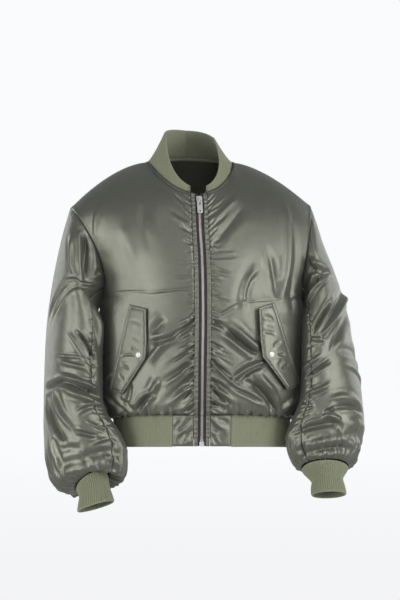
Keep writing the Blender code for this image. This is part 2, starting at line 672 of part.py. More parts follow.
def zip_heights(top):
    """Heights along the zip, with a straight stretch under the slider."""
    shell = np.linspace(0, SLIDER_V - SLIDER_SPAN_V, ZIP_STEPS)
    ends = [SLIDER_V] if top == SLIDER_V else [SLIDER_V, top]
    return np.concatenate([np.linspace(ZIP_FOOT_V, 0, 4)[:-1], shell, ends])


def make_zip():
    for side in SIDES:
        whole = zip_heights(ZIP_TOP_V)
        strip = zip_line(side, [ZIP_GAP, PLACKET_EDGE - 2 * SEAM_GAP], whole, STRIP)
        wall(f"placket_{side}", strip, STRIP, satin())
        tape = [TEETH_HALF + 2 * SEAM_GAP, PLACKET_EDGE - 4 * SEAM_GAP]
        wall(f"zip_tape_{side}", zip_line(side, tape, whole, TAPE_THICK / 2 - TAPE_DEPTH), TAPE_THICK, zip_tape())
        teeth = zip_line(side, [SEAM_GAP, TEETH_HALF], zip_heights(SLIDER_V), TEETH_THICK / 2 - TAPE_DEPTH)
        wall(f"zip_teeth_{side}", teeth, TEETH_THICK, nickel())


def zip_frame(v, span):
    """Place and axes on the tape's mid-plane at the zip's centre line: across, towards the wearer, and up."""
    low, here = (stand(centre_row("left", [0.0], at), "left")[0] for at in (v - span, v))
    beside = stand(centre_row("left", [TEETH_HALF], v), "left")[0]
    up = Vector(here - low).normalized()
    across = Vector(beside - here)
    across = (across - up * across.dot(up)).normalized()
    inwards = up.cross(across)
    frame = Matrix((across, inwards, up)).transposed().to_4x4()
    return Matrix.Translation(Vector(here) + inwards * TAPE_DEPTH) @ frame


def box(low, high):
    """A box as a bmesh, from its two corners."""
    made = bmesh.new()
    bmesh.ops.create_cube(made, size=1.0)
    low, high = Vector(low), Vector(high)
    size = high - low
    bmesh.ops.scale(made, vec=size, verts=made.verts)
    bmesh.ops.translate(made, vec=(low + high) / 2, verts=made.verts)
    return made


def outline_plate(points, low_y, high_y):
    """A flat outline in X and Z, drawn out along Y."""
    made = bmesh.new()
    verts = [made.verts.new((x, low_y, z)) for x, z in points]
    face = made.faces.new(verts)
    drawn = bmesh.ops.extrude_face_region(made, geom=[face])["geom"]
    moved = [item for item in drawn if isinstance(item, bmesh.types.BMVert)]
    bmesh.ops.translate(made, vec=(0, high_y - low_y, 0), verts=moved)
    bmesh.ops.recalc_face_normals(made, faces=made.faces)
    return made


def mesh_from(build, name):
    mesh = bpy.data.meshes.new(name)
    build.to_mesh(mesh)
    build.free()
    return mesh


def joined(name, builds, finish, place, cut=()):
    """Solids united, less the cutters, in the zip's frame."""
    base = add_object(name, mesh_from(builds[0], name), finish)
    helpers = bpy.data.collections["cutters"]
    for index, build in enumerate(list(builds[1:]) + list(cut)):
        helper = bpy.data.objects.new(f"{name}_tool_{index}", mesh_from(build, f"{name}_tool_{index}"))
        helpers.objects.link(helper)
        helper.hide_render = True
        helper.display_type = "WIRE"
        helper.matrix_world = place
        step = base.modifiers.new(f"step_{index}", "BOOLEAN")
        step.operation = "UNION" if index < len(builds) - 1 else "DIFFERENCE"
        step.object = helper
    base.matrix_world = place
    return base


# Slider and pull tab, in the zip's frame: X across, Y towards the wearer, Z up, zero at the tape's mid-plane.
PLATE_OUT = 0.0021
PLATE_THICK = 0.0012
PLATE_WIDE, PLATE_NARROW, PLATE_TALL = 0.0066, 0.0050, 0.0074
PLATE_TOP, PLATE_WIDEST = 0.0053, 0.0026  # half its width at the top, and the height where it is widest
WEDGE_HALF, WEDGE_LOW, WEDGE_HIGH = 0.0014, 0.0030, 0.0067  # what joins the plates, between the parted tapes
BAIL_HALF, BAIL_TALL, BAIL_OUT, BAIL_THICK = 0.0012, 0.0056, 0.0068, 0.0012
BAR_OUT = 0.0046
BAR_DROP = 0.0034  # the tab hangs from the foot of the bail
BAR_HALF = 0.0007
TAB_THICK, TAB_HALF, TAB_LONG = 0.0013, 0.0056, 0.0310
TAB_TOP_HALF, TAB_SHOULDER = 0.0040, 0.0042  # half its width at the bar, and how soon it is full width
TAB_EYE_HALF, TAB_EYE_LONG = 0.0022, 0.0108
TAB_HOLE, TAB_HOLE_UP = 0.0019, 0.0052
CORNER = 0.0026


def tab_outline():
    """Half the pull tab's outline, from its bar down to its rounded foot, then mirrored."""
    turns = np.linspace(0, math.pi / 2, 4)
    foot = BAR_HALF - TAB_LONG + CORNER
    right = [(TAB_TOP_HALF, BAR_HALF), (TAB_HALF, BAR_HALF - TAB_SHOULDER)]
    right += [(TAB_HALF - CORNER + CORNER * math.cos(t), foot - CORNER * math.sin(t)) for t in turns]
    return right + [(-x, z) for x, z in reversed(right)]


def make_slider():
    place = zip_frame(SLIDER_V, SLIDER_SPAN_V)
    half = [(PLATE_NARROW, -PLATE_TALL), (PLATE_WIDE, PLATE_WIDEST), (PLATE_TOP, PLATE_TALL)]
    shape = half + [(-x, z) for x, z in reversed(half)]
    front = outline_plate(shape, -PLATE_OUT - PLATE_THICK, -PLATE_OUT)
    rear = outline_plate(shape, PLATE_OUT, PLATE_OUT + PLATE_THICK)
    deep = PLATE_OUT + PLATE_THICK / 2
    wedge = box((-WEDGE_HALF, -deep, WEDGE_LOW), (WEDGE_HALF, deep, WEDGE_HIGH))
    arch = box((-BAIL_HALF, -BAIL_OUT - BAIL_THICK, -BAIL_TALL), (BAIL_HALF, -deep, BAIL_TALL))
    window = BAIL_TALL - BAIL_THICK
    through = 3 * BAIL_HALF
    hollow = box((-through, -BAIL_OUT, -window), (through, -PLATE_OUT - PLATE_THICK, window))
    joined("zip_slider", [front, rear, wedge, arch], nickel(), place, cut=[hollow])

    hinge = place @ Matrix.Translation((0, -BAR_OUT, -BAR_DROP))
    plate = outline_plate(tab_outline(), -TAB_THICK / 2, TAB_THICK / 2)
    reach = 2 * TAB_THICK
    eye = box((-TAB_EYE_HALF, -reach, -TAB_EYE_LONG), (TAB_EYE_HALF, reach, -BAR_HALF))
    hole = bmesh.new()
    turn = Matrix.Translation((0, 0, BAR_HALF - TAB_LONG + TAB_HOLE_UP)) @ Matrix.Rotation(math.pi / 2, 4, "X")
    bmesh.ops.create_cone(
        hole, cap_ends=True, segments=16, radius1=TAB_HOLE, radius2=TAB_HOLE, depth=2 * reach, matrix=turn
    )
    joined("pull_tab", [plate], nickel(), hinge, cut=[eye, hole])


BOX_HALF, BOX_TALL, BOX_THICK = 0.0048, 0.0092, 0.0010
BOX_V = -0.920
BOX_SPAN_V = 0.1


def make_zip_box():
    """The square box at the foot of the zip that the pin drops into: its front plate."""
    front = -PLATE_OUT - BOX_THICK
    plate = box((-BOX_HALF, front, -BOX_TALL / 2), (BOX_HALF, -PLATE_OUT, BOX_TALL / 2))
    joined("zip_box", [plate], nickel(), zip_frame(BOX_V, BOX_SPAN_V))


# ---------------------------------------------------------------- neck binding
BINDING_WIDTH = 0.0056
BINDING_START = 0.0012  # from the collar seam
BINDING_LIFT = 0.0016


def make_neck_binding(sheets):
    """A folded satin strip round the collar seam, lying on the shell's top two rows and its shoulder seams."""
    neck = NECK_COLUMNS + 1
    parts = [
        sheets["front_left"][-2:, :neck],
        sheets["back"][-2:, SHOULDER_COLUMNS : SHOULDER_COLUMNS + 2 * neck - 1],
        sheets["front_right"][-2:, SHOULDER_COLUMNS:],
    ]
    below, top = np.concatenate([parts[0], parts[1][:, 1:], parts[2][:, 1:]], axis=1)
    below[NECK_COLUMNS] = sheets["front_left"][-1, NECK_COLUMNS + 1]
    below[3 * NECK_COLUMNS] = sheets["front_right"][-1, SHOULDER_COLUMNS - 1]
    step = below - top
    step /= np.linalg.norm(step, axis=1, keepdims=True)
    sheet = pulled_back(np.array([top + step * (BINDING_START + BINDING_WIDTH), top + step * BINDING_START]))
    out = facing(sheet)
    wall("neck_binding", sheet + out * (STRIP + BINDING_LIFT), STRIP, satin(), -out)


# ---------------------------------------------------------------- pockets
SLOPE_REACH = 0.012  # a front's slope is measured over this far each way


def front_finder(side):
    """Finds the point and the normal of a front at a place seen square on."""
    sheet = folded(f"front_{side}", front_sheet(side))
    rows, across = sheet.shape[:2]
    corner = [i * across + j for i in range(rows - 1) for j in range(across - 1)]
    quads = [(k, k + 1, k + across + 1, k + across) for k in corner]
    tree = BVHTree.FromPolygons([Vector(p) for p in sheet.reshape(-1, 3)], quads)

    def hit(x, z):
        return np.array(tree.ray_cast(Vector((x, -1, z)), Vector((0, 1, 0)))[0])

    def find(x, z):
        across_it = hit(x + SLOPE_REACH, z) - hit(x - SLOPE_REACH, z)
        up_it = hit(x, z + SLOPE_REACH) - hit(x, z - SLOPE_REACH)
        out = np.cross(across_it, up_it)
        return hit(x, z), out / np.linalg.norm(out)

    return find


def flap_point(side, find, along, across, lift):
    """A place on a flap, floating off the front: along its sewn edge from 0 to 1, and across it from 0 at the welt to
    1 at its free edge. From -1 to 0 it crosses the welt, which lies beside the sewn edge."""
    top, bottom = np.array(FLAP_TOP[side]), np.array(FLAP_BOTTOM[side])
    edge = bottom - top
    inwards = np.array([-edge[1], edge[0]]) / np.linalg.norm(edge)
    if side == "left":
        inwards = -inwards
    shape = column(FLAP_SHAPE, FLAP_SHAPE_NAMES, "along"), column(FLAP_SHAPE, FLAP_SHAPE_NAMES, "width")
    width = FLAP_WIDTH * np.interp(along, *shape)
    from_welt = width - WELT_WIDTH if across > 0 else WELT_WIDTH - SEAM_GAP
    from_edge = WELT_WIDTH + SEAM_GAP + from_welt * across
    point, out = find(*(top + edge * along + inwards * from_edge))
    return point + out * lift, out


def flap_sheet(side, find, shares, lift_of):
    """A grid over the flap, or over its welt, at shares across it."""
    rows = []
    for across in shares:
        alongs = np.linspace(0, 1, FLAP_DOWN + 1)
        rows.append([flap_point(side, find, along, across, lift_of(across))[0] for along in alongs])
    sheet = np.array(rows)
    middle = facing(sheet)[len(rows) // 2, FLAP_DOWN // 2]
    return sheet if middle[1] < 0 else sheet[::-1]


def make_pockets():
    for side in SIDES:
        find = front_finder(side)
        stand_off = FLAP_STAND + FLAP_THICK
        shares = np.linspace(SEAM_GAP, 1, FLAP_ACROSS + 1)
        sheet = flap_sheet(side, find, shares, lambda across: stand_off + FLAP_PROUD[side] * across)
        wall(f"pocket_flap_{side}", sheet, FLAP_THICK, satin())
        sheet = flap_sheet(side, find, (-2 * SEAM_GAP / WELT_WIDTH, -1.0), lambda across: FLAP_STAND + STRIP)
        wall(f"pocket_welt_{side}", sheet, STRIP, satin())
        along, across = SNAP_PLACE[side]
        lift = stand_off + FLAP_PROUD[side] * across + SNAP_LIFT
        point, out = flap_point(side, find, along, across, lift)
        make_snap(side, Vector(point), Vector(out))


def make_snap(side, place, out):
    """The cap of a press stud, a low dome."""
    build = bmesh.new()
    bmesh.ops.create_cone(
        build, cap_ends=True, segments=18, radius1=SNAP_RADIUS, radius2=SNAP_TOP_RADIUS, depth=SNAP_HEIGHT
    )
    bmesh.ops.translate(build, vec=(0, 0, SNAP_HEIGHT / 2), verts=build.verts)
    mesh = mesh_from(build, f"snap_{side}")
    mesh.shade_smooth()
    made = add_object(f"snap_{side}", mesh, nickel())
    made.matrix_world = Matrix.Translation(place) @ out.to_track_quat("Z", "Y").to_matrix().to_4x4()


# ---------------------------------------------------------------- building
def clear_scene():
    for item in list(bpy.data.objects):
        bpy.data.objects.remove(item)
    for name in ("bomber_jacket", "cutters"):
        bpy.context.scene.collection.children.link(bpy.data.collections.new(name))


def build_jacket():
    clear_scene()
    sheets = shell_sheets()
    make_shell(sheets)
    make_collar()
    make_cuffs()
    make_hem()
    make_zip()
    make_slider()
    make_zip_box()
    make_neck_binding(sheets)
    make_pockets()


build_jacket()
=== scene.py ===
import math

import bmesh
import bpy
import numpy as np
from mathutils import Matrix, Vector
from mathutils.bvhtree import BVHTree


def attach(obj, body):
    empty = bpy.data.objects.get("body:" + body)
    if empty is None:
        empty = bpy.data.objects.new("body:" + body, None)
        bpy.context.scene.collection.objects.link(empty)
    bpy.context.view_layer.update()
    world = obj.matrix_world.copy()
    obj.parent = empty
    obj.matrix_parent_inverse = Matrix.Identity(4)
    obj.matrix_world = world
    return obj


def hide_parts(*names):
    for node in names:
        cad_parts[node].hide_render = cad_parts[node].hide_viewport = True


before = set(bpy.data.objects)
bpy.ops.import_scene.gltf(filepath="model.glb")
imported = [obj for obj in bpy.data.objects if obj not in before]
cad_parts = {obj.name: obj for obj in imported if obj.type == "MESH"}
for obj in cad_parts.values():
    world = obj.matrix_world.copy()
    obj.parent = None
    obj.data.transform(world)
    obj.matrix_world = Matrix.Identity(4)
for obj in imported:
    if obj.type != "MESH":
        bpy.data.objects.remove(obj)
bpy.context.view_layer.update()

# ------------------------------------------------------------------ the studio
# A white photo studio: a pale floor, a large soft light at each side, a weak one in front, a small one
# above, and two behind the jacket.
# The camera is level with the middle of the jacket, 3.5 m away, with a short telephoto lens.
CAMERA_PLACE = (0.0195, -3.5, -0.2995)
CAMERA_LENS_MM = 96.8
FLOOR_Z = -1.45
STUDIO_REACH = 60.0
FLOOR_WHITE = (0.890, 0.892, 0.905)
FLOOR_GREY = 0.42  # as the jacket is lit by it
FLOOR_FADE = (2.5, 9.0)  # from the near white to the room's white
ROOM_LIGHT = 0.20
ROOM_WHITE = (0.955, 0.965, 0.975)
# place, point it faces, width, height, watts
STUDIO_LIGHTS = (
    ((-2.3, -1.7, -0.35), (0.0, 0.0, -0.35), 1.3, 2.2, 52),
    ((2.3, -1.6, 0.15), (0.0, 0.0, -0.35), 1.4, 2.4, 58),
    ((0.2, -4.2, 0.10), (0.0, 0.0, -0.35), 2.6, 1.4, 18),
    ((0.7, -2.2, 1.30), (0.05, 0.0, -0.15), 1.4, 0.8, 7),
    ((-2.6, 2.6, 0.3), (0.0, 0.0, -0.35), 1.2, 2.2, 24),
    ((2.6, 2.6, 0.3), (0.0, 0.0, -0.35), 1.2, 2.2, 24),
)


def in_scene(name, data):
    """An object of this mesh, light or camera, linked to the scene."""
    made = bpy.data.objects.new(name, data)
    bpy.context.scene.collection.objects.link(made)
    return made


def facing_matrix(place, towards):
    """A camera's or light's matrix at a place, looking at a point."""
    look = Vector(towards) - Vector(place)
    return Matrix.Translation(place) @ look.to_track_quat("-Z", "Y").to_matrix().to_4x4()


def filled_in(node, values):
    """Sets a node's inputs by name. A colour of three numbers is made opaque."""
    for label, value in values.items():
        opaque = isinstance(value, tuple) and node.inputs[label].type == "RGBA"
        node.inputs[label].default_value = (*value[:3], 1.0) if opaque else value


camera_data = bpy.data.cameras.new("camera")
camera_data.lens = CAMERA_LENS_MM
camera_data.sensor_width = 36.0
camera = in_scene("camera", camera_data)
camera.matrix_world = facing_matrix(CAMERA_PLACE, (CAMERA_PLACE[0], 0.0, CAMERA_PLACE[2]))
bpy.context.scene.camera = camera
bpy.context.scene.view_settings.view_transform = "Standard"

for number, (place, towards, wide, tall, watts) in enumerate(STUDIO_LIGHTS):
    light_data = bpy.data.lights.new(f"softbox_{number}", "AREA")
    light_data.shape = "RECTANGLE"
    light_data.size = wide
    light_data.size_y = tall
    light_data.energy = watts
    light = in_scene(f"softbox_{number}", light_data)
    light.matrix_world = facing_matrix(place, towards)

# The room is white where it is seen and dim where it lights the jacket, as behind the flags of a studio.
world = bpy.data.worlds.new("studio_air")
world.use_nodes = True
room = world.node_tree
dim, seen = room.nodes["Background"], room.nodes.new("ShaderNodeBackground")
filled_in(dim, {"Color": (0.93, 0.95, 1.0, 1.0), "Strength": ROOM_LIGHT})
seen.inputs["Color"].default_value = (*ROOM_WHITE, 1.0)
rays, either = room.nodes.new("ShaderNodeLightPath"), room.nodes.new("ShaderNodeMixShader")
room.links.new(rays.outputs["Is Camera Ray"], either.inputs["Fac"])
room.links.new(dim.outputs["Background"], either.inputs[1])
room.links.new(seen.outputs["Background"], either.inputs[2])
room.links.new(either.outputs["Shader"], room.nodes["World Output"].inputs["Surface"])
bpy.context.scene.world = world


def plain_material(name, colour, roughness):
    """A plain material: one colour and one roughness."""
    made = bpy.data.materials.new(name)
    made.use_nodes = True
    filled_in(made.node_tree.nodes["Principled BSDF"], {"Base Color": colour, "Roughness": roughness})
    return made


floor_mesh = bpy.data.meshes.new("floor")
floor_corners = [
    (x * STUDIO_REACH, y * STUDIO_REACH, FLOOR_Z) for x, y in ((-1, -1), (1, -1), (1, 1), (-1, 1))
]
floor_mesh.from_pydata(floor_corners, [], [(0, 1, 2, 3)])
# Like the room, it is white where it is seen and grey where it lights the jacket. With distance its
# white fades to that of the room.
floor_white = plain_material("studio_floor", (0.0, 0.0, 0.0), 1.0)
paper = floor_white.node_tree
rays, tones = paper.nodes.new("ShaderNodeLightPath"), paper.nodes.new("ShaderNodeMix")
tones.data_type = "RGBA"
filled_in(tones, {"A": (FLOOR_GREY, FLOOR_GREY, FLOOR_GREY)})
fade, away, place, far = (
    paper.nodes.new(f"ShaderNode{kind}") for kind in ("Mix", "VectorMath", "TexCoord", "MapRange")
)
fade.data_type = "RGBA"
filled_in(fade, {"A": FLOOR_WHITE, "B": ROOM_WHITE})
away.operation = "LENGTH"
far.inputs["From Min"].default_value, far.inputs["From Max"].default_value = FLOOR_FADE
paper.links.new(place.outputs["Object"], away.inputs[0])
paper.links.new(away.outputs["Value"], far.inputs["Value"])
paper.links.new(far.outputs["Result"], fade.inputs["Factor"])
paper.links.new(fade.outputs["Result"], tones.inputs["B"])
paper.links.new(rays.outputs["Is Camera Ray"], tones.inputs["Factor"])
paper.links.new(tones.outputs["Result"], paper.nodes["Principled BSDF"].inputs["Emission Color"])
filled_in(paper.nodes["Principled BSDF"], {"Emission Strength": 1.0, "Specular IOR Level": 0.0})
floor_mesh.materials.append(floor_white)
floor = in_scene("floor", floor_mesh)

# ------------------------------------------------------------------ the satin
# Nylon flight satin over a thin layer of wadding: a warp-faced weave with a strong soft lustre.
# It is dyed olive grey. Its lustre breaks up a little where the wadding is lumpy.
SATIN_COLOUR = (0.178, 0.185, 0.148)
SATIN_DARK = (0.150, 0.156, 0.125)
THREAD = 0.00045  # spacing of the weave's floats


def node_group(name, inputs, outputs):
    """An empty shader node group with named float inputs and outputs of given types."""
    group = bpy.data.node_groups.new(name, "ShaderNodeTree")
    for label, value in inputs:
        socket = group.interface.new_socket(label, in_out="INPUT", socket_type="NodeSocketFloat")
        socket.default_value = value
    for label, kind in outputs:
        group.interface.new_socket(label, in_out="OUTPUT", socket_type=kind)
    return group, group.nodes.new("NodeGroupInput"), group.nodes.new("NodeGroupOutput")


def math_node(tree, operation, first, second):
    """A Math node whose two inputs are sockets or numbers. Returns its output."""
    node = tree.nodes.new("ShaderNodeMath")
    node.operation = operation
    for socket, value in zip(node.inputs, (first, second)):
        if hasattr(value, "is_output"):
            tree.links.new(value, socket)
        else:
            socket.default_value = value
    return node.outputs[0]


def weave_group():
    """Fine floats on the cloth's own UV, in metres, slow lumps of wadding, and the small creases of a
    worn cloth.
    """
    group, given, out = node_group(
        "cloth_weave",
        (("Thread", 0.0005), ("Lump", 0.02), ("Crease Low", -0.36), ("Crease High", -0.20)),
        (("Float", "NodeSocketFloat"), ("Lumps", "NodeSocketFloat"), ("Creases", "NodeSocketFloat")),
    )
    place = group.nodes.new("ShaderNodeTexCoord")
    split = group.nodes.new("ShaderNodeSeparateXYZ")
    group.links.new(place.outputs["UV"], split.inputs[0])
    slant = math_node(
        group, "ADD", split.outputs["X"], math_node(group, "MULTIPLY", split.outputs["Y"], 0.45)
    )
    turns = math_node(group, "DIVIDE", math_node(group, "MULTIPLY", slant, math.tau), given.outputs["Thread"])
    group.links.new(math_node(group, "SINE", turns, 0.0), out.inputs["Float"])
    lumps = group.nodes.new("ShaderNodeTexNoise")
    lumps.inputs["Detail"].default_value = 2.0
    group.links.new(place.outputs["Object"], lumps.inputs["Vector"])
    group.links.new(math_node(group, "DIVIDE", 1.0, given.outputs["Lump"]), lumps.inputs["Scale"])
    group.links.new(lumps.outputs[0], out.inputs["Lumps"])
    stretch, ridges = group.nodes.new("ShaderNodeMapping"), group.nodes.new("ShaderNodeTexNoise")
    filled_in(stretch, {"Scale": (26.0, 70.0, 1.0), "Rotation": (0.0, 0.0, 0.35)})
    ridges.noise_type = "RIDGED_MULTIFRACTAL"
    filled_in(ridges, {"Scale": 1.0, "Detail": 1.5, "Distortion": 0.6})
    group.links.new(place.outputs["UV"], stretch.inputs["Vector"])
    group.links.new(stretch.outputs["Vector"], ridges.inputs["Vector"])
    heights, band = group.nodes.new("ShaderNodeSeparateXYZ"), group.nodes.new("ShaderNodeMapRange")
    group.links.new(place.outputs["Object"], heights.inputs[0])
    group.links.new(heights.outputs["Z"], band.inputs["Value"])
    group.links.new(given.outputs["Crease Low"], band.inputs["From Min"])
    group.links.new(given.outputs["Crease High"], band.inputs["From Max"])
    filled_in(band, {"To Min": 1.0, "To Max": 0.2})
    group.links.new(
        math_node(group, "MULTIPLY", ridges.outputs[0], band.outputs["Result"]), out.inputs["Creases"]
    )
    return group


cloth_weave = weave_group()


def cloth_material(name, light, dark, roughness, thread, lump, depth, sheen, metallic=0.0, creases=0.0):
    """A woven cloth: two close tones mixed by its lumps, and a bump from its threads and lumps."""
    made = plain_material(name, light, roughness)
    tree = made.node_tree
    shader = tree.nodes["Principled BSDF"]
    filled_in(shader, {"Metallic": metallic, "Sheen Weight": sheen, "Sheen Roughness": 0.45})
    weave = tree.nodes.new("ShaderNodeGroup")
    weave.node_tree = cloth_weave
    filled_in(weave, {"Thread": thread, "Lump": lump})
    tones = tree.nodes.new("ShaderNodeMix")
    tones.data_type = "RGBA"
    filled_in(tones, {"A": dark, "B": light})
    tree.links.new(weave.outputs["Lumps"], tones.inputs["Factor"])
    tree.links.new(tones.outputs["Result"], shader.inputs["Base Color"])
    height = math_node(
        tree, "ADD", math_node(tree, "MULTIPLY", weave.outputs["Float"], depth), weave.outputs["Lumps"]
    )
    if creases:
        height = math_node(
            tree, "ADD", height, math_node(tree, "MULTIPLY", weave.outputs["Creases"], creases)
        )
    bump = tree.nodes.new("ShaderNodeBump")
    filled_in(bump, {"Strength": 0.25, "Distance": 0.0012})
    tree.links.new(height, bump.inputs["Height"])
    tree.links.new(bump.outputs["Normal"], shader.inputs["Normal"])
    return made


satin = cloth_material(
    "flight_satin", SATIN_COLOUR, SATIN_DARK, roughness=0.34, thread=THREAD,
    lump=0.011, depth=0.12, sheen=0.2, metallic=0.68, creases=1.3,
)

# ------------------------------------------------------------------ the body's form
# The fronts and the back share one form, which the wearer fills out. Each row of a half panel is a flattened
# ellipse from the centre line to the side seam or the armhole, and the top rows lift to the neck and
# shoulder seams.
NECK_HALF_WIDTH = 0.0915
NECK_FRONT_Y, NECK_BACK_Y = -0.112, 0.074
NECK_PIT_Z, NECK_NAPE_Z, NECK_DIP = -0.074, 0.012, 1.5
SHOULDER_TIP, SHOULDER_DROP = (0.262, 0.005, -0.098), 1.70
UNDERARM = (0.205, 0.010, -0.300)
ARMHOLE_REACH = {"front": 0.088, "back": 0.092}
ARMHOLE_BOW = {
    ("right", "front"): 0.020, ("left", "front"): 0.004, ("right", "back"): 0.008, ("left", "back"): 0.008
}
UNDERARM_V, CROWN_V, CORNER_SPREAD = 0.55, 0.66, 0.80
NECK_SHARE = {"front": 0.46, "back": 0.40}
PLACKET_EDGE = 0.0170
SIDES = {"right": -1, "left": 1}
FINE = 48
ROW_NAMES = ("v", "mid_z", "mid_y", "side_x", "side_z", "turn", "square")
FRONT_ROWS = (
    # v     mid_z    mid_y   side_x  side_z  turn  square
    (0.00, -0.538, -0.148, 0.192, -0.552, 1.00, 2.25),
    (0.04, -0.534, -0.157, 0.203, -0.562, 1.00, 2.35),
    (0.09, -0.514, -0.164, 0.211, -0.546, 1.00, 2.45),
    (0.17, -0.478, -0.168, 0.216, -0.503, 1.00, 2.50),
    (0.30, -0.415, -0.170, 0.217, -0.430, 1.00, 2.50),
    (0.42, -0.350, -0.168, 0.215, -0.362, 1.00, 2.50),
    (0.55, -0.285, -0.164, 0.205, -0.300, 1.00, 2.50),
    (0.70, -0.215, -0.157, 0.205, -0.300, 0.86, 2.45),
    (0.85, -0.142, -0.141, 0.205, -0.300, 0.70, 2.35),
    (1.00, -0.074, -0.112, 0.205, -0.300, 0.60, 2.20),
)
BACK_ROWS = (
    # v     mid_z    mid_y   side_x  side_z  turn  square
    (0.00, -0.545, 0.132, 0.192, -0.552, 1.00, 2.25),
    (0.04, -0.556, 0.147, 0.203, -0.562, 1.00, 2.35),
    (0.09, -0.540, 0.158, 0.211, -0.546, 1.00, 2.45),
    (0.17, -0.495, 0.163, 0.216, -0.503, 1.00, 2.50),
    (0.30, -0.415, 0.158, 0.217, -0.430, 1.00, 2.50),
    (0.42, -0.335, 0.154, 0.215, -0.362, 1.00, 2.50),
    (0.55, -0.262, 0.154, 0.205, -0.300, 1.00, 2.50),
    (0.70, -0.175, 0.147, 0.205, -0.300, 0.86, 2.45),
    (0.85, -0.080, 0.122, 0.205, -0.300, 0.70, 2.35),
    (1.00, 0.012, 0.074, 0.205, -0.300, 0.60, 2.20),
)
# sideways shift, turn about Z, and rise of the left side for each metre across, by height
STANCE_NAMES = ("z", "shift", "turn_deg", "tilt")
STANCE = (
    (-0.640, 0.0228, 0.0, 0.000),
    (-0.450, 0.0240, 0.2, 0.000),
    (-0.300, 0.0235, 0.8, 0.000),
    (-0.210, 0.0145, 3.4, 0.006),
    (-0.150, 0.0045, 6.2, 0.014),
    (-0.090, 0.0000, 8.6, 0.018),
    (0.080, -0.0040, 9.5, 0.000),
)


def column(table, names, name):
    """One named column of a table."""
    return np.array([row[names.index(name)] for row in table], float)


def smooth(at, places, values):
    """A cubic through values at places, read at the numbers in at. Each value may be a number or a list."""
    at, places, values = np.asarray(at, float), np.asarray(places, float), np.asarray(values, float)
    slopes = np.gradient(values, places, axis=0)
    i = np.clip(np.searchsorted(places, at, side="right") - 1, 0, len(places) - 2)
    wide = at.shape + (1,) * (values.ndim - 1)
    step = (places[i + 1] - places[i]).reshape(wide)
    t = np.clip((at - places[i]).reshape(wide) / step, 0, 1)
    rise = values[i + 1] - values[i]
    start, end = slopes[i] * step, slopes[i + 1] * step
    return values[i] + t * (start + t * (3 * rise - 2 * start - end + t * (start + end - 2 * rise)))


def places_along(curve):
    """How far each point of a curve is from its first, along it."""
    return np.concatenate([[0], np.cumsum(np.linalg.norm(np.diff(curve, axis=0), axis=1))])


def read_at(at, places, points):
    """Points given at places, read at other places."""
    return np.stack([np.interp(at, places, points[:, k]) for k in range(3)], axis=1)


def divided(curve, shares):
    """Points of a curve at these shares of its length."""
    along = places_along(curve)
    return read_at(shares, along / along[-1], curve)


def armhole(side, half, angle):
    """The armhole seam at an angle from the shoulder tip (0) to the underarm (pi), over the front or the
    back.
    """
    top, low = np.array(SHOULDER_TIP), np.array(UNDERARM)
    angle = np.asarray(angle, float)[..., None]
    across = np.array([0.0, ARMHOLE_REACH[half] * (-1 if half == "front" else 1), 0.0])
    bow = np.array([ARMHOLE_BOW[side, half], 0.0, 0.0])
    round_it = (top + low) / 2 + (top - low) / 2 * np.cos(angle) + across * np.sin(angle)
    return round_it - bow * np.sin(angle) ** 2


def neckline(half, share):
    """The collar seam from the centre line (0) to the shoulder seam (1)."""
    turn = np.asarray(share, float) * math.pi / 2
    depth, low = (NECK_FRONT_Y, NECK_PIT_Z) if half == "front" else (NECK_BACK_Y, NECK_NAPE_Z)
    return np.stack(
        [NECK_HALF_WIDTH * np.sin(turn), depth * np.cos(turn), low * np.cos(turn) ** NECK_DIP], axis=-1
    )


def top_edge(half, shares):
    """The top of a half panel: the neckline up to its share of the row, then the shoulder seam."""
    even = np.linspace(0, 1, FINE)
    x = NECK_HALF_WIDTH + (SHOULDER_TIP[0] - NECK_HALF_WIDTH) * even
    shoulder = np.stack([x, SHOULDER_TIP[1] * even, SHOULDER_TIP[2] * even**SHOULDER_DROP], axis=-1)
    neck, seam = divided(neckline(half, even), even), divided(shoulder, even)
    at = np.concatenate([even * NECK_SHARE[half], NECK_SHARE[half] + even[1:] * (1 - NECK_SHARE[half])])
    edge = np.concatenate([neck, seam[1:]])
    return read_at(shares, at, edge)


def bare_row(side, half, shares, v):
    """Points of the body at a height, from the centre line (0) to the side or the armhole (1)."""
    table = FRONT_ROWS if half == "front" else BACK_ROWS
    places = column(table, ROW_NAMES, "v")
    read = {name: float(smooth(v, places, column(table, ROW_NAMES, name))) for name in ROW_NAMES[1:]}
    if v <= UNDERARM_V:
        end = np.array([read["side_x"], UNDERARM[1] * v / UNDERARM_V, read["side_z"]])
    else:
        end = armhole(side, half, math.pi * (1 - v) / (1 - UNDERARM_V))
    angle = np.linspace(0, 1, FINE) * read["turn"] * math.pi / 2
    out = np.sin(angle) ** (2 / read["square"])
    back = np.maximum(np.cos(angle), 0) ** (2 / read["square"])
    back = (back - back[-1]) / (1 - back[-1])
    x = end[0] * out / out[-1]
    y = end[1] + (read["mid_y"] - end[1]) * back
    z = read["mid_z"] + (end[2] - read["mid_z"]) * (angle / angle[-1]) ** 2
    return divided(np.stack([x, y, z], axis=1), shares)


def softened(offsets, places, at, spread):
    """Offsets at places from 0 to 1, read at other places through a soft window. They stay nought at
    both ends.
    """
    if spread < 1e-6:
        return read_at(at, places, offsets)
    gap, over = at[:, None] - places, at[:, None] + places
    near = np.exp(-((gap / spread) ** 2))
    mirrored = np.exp(-((over / spread) ** 2)) + np.exp(-(((2 - over) / spread) ** 2))
    return (near - mirrored) @ offsets / (near + mirrored).sum(axis=1, keepdims=True)


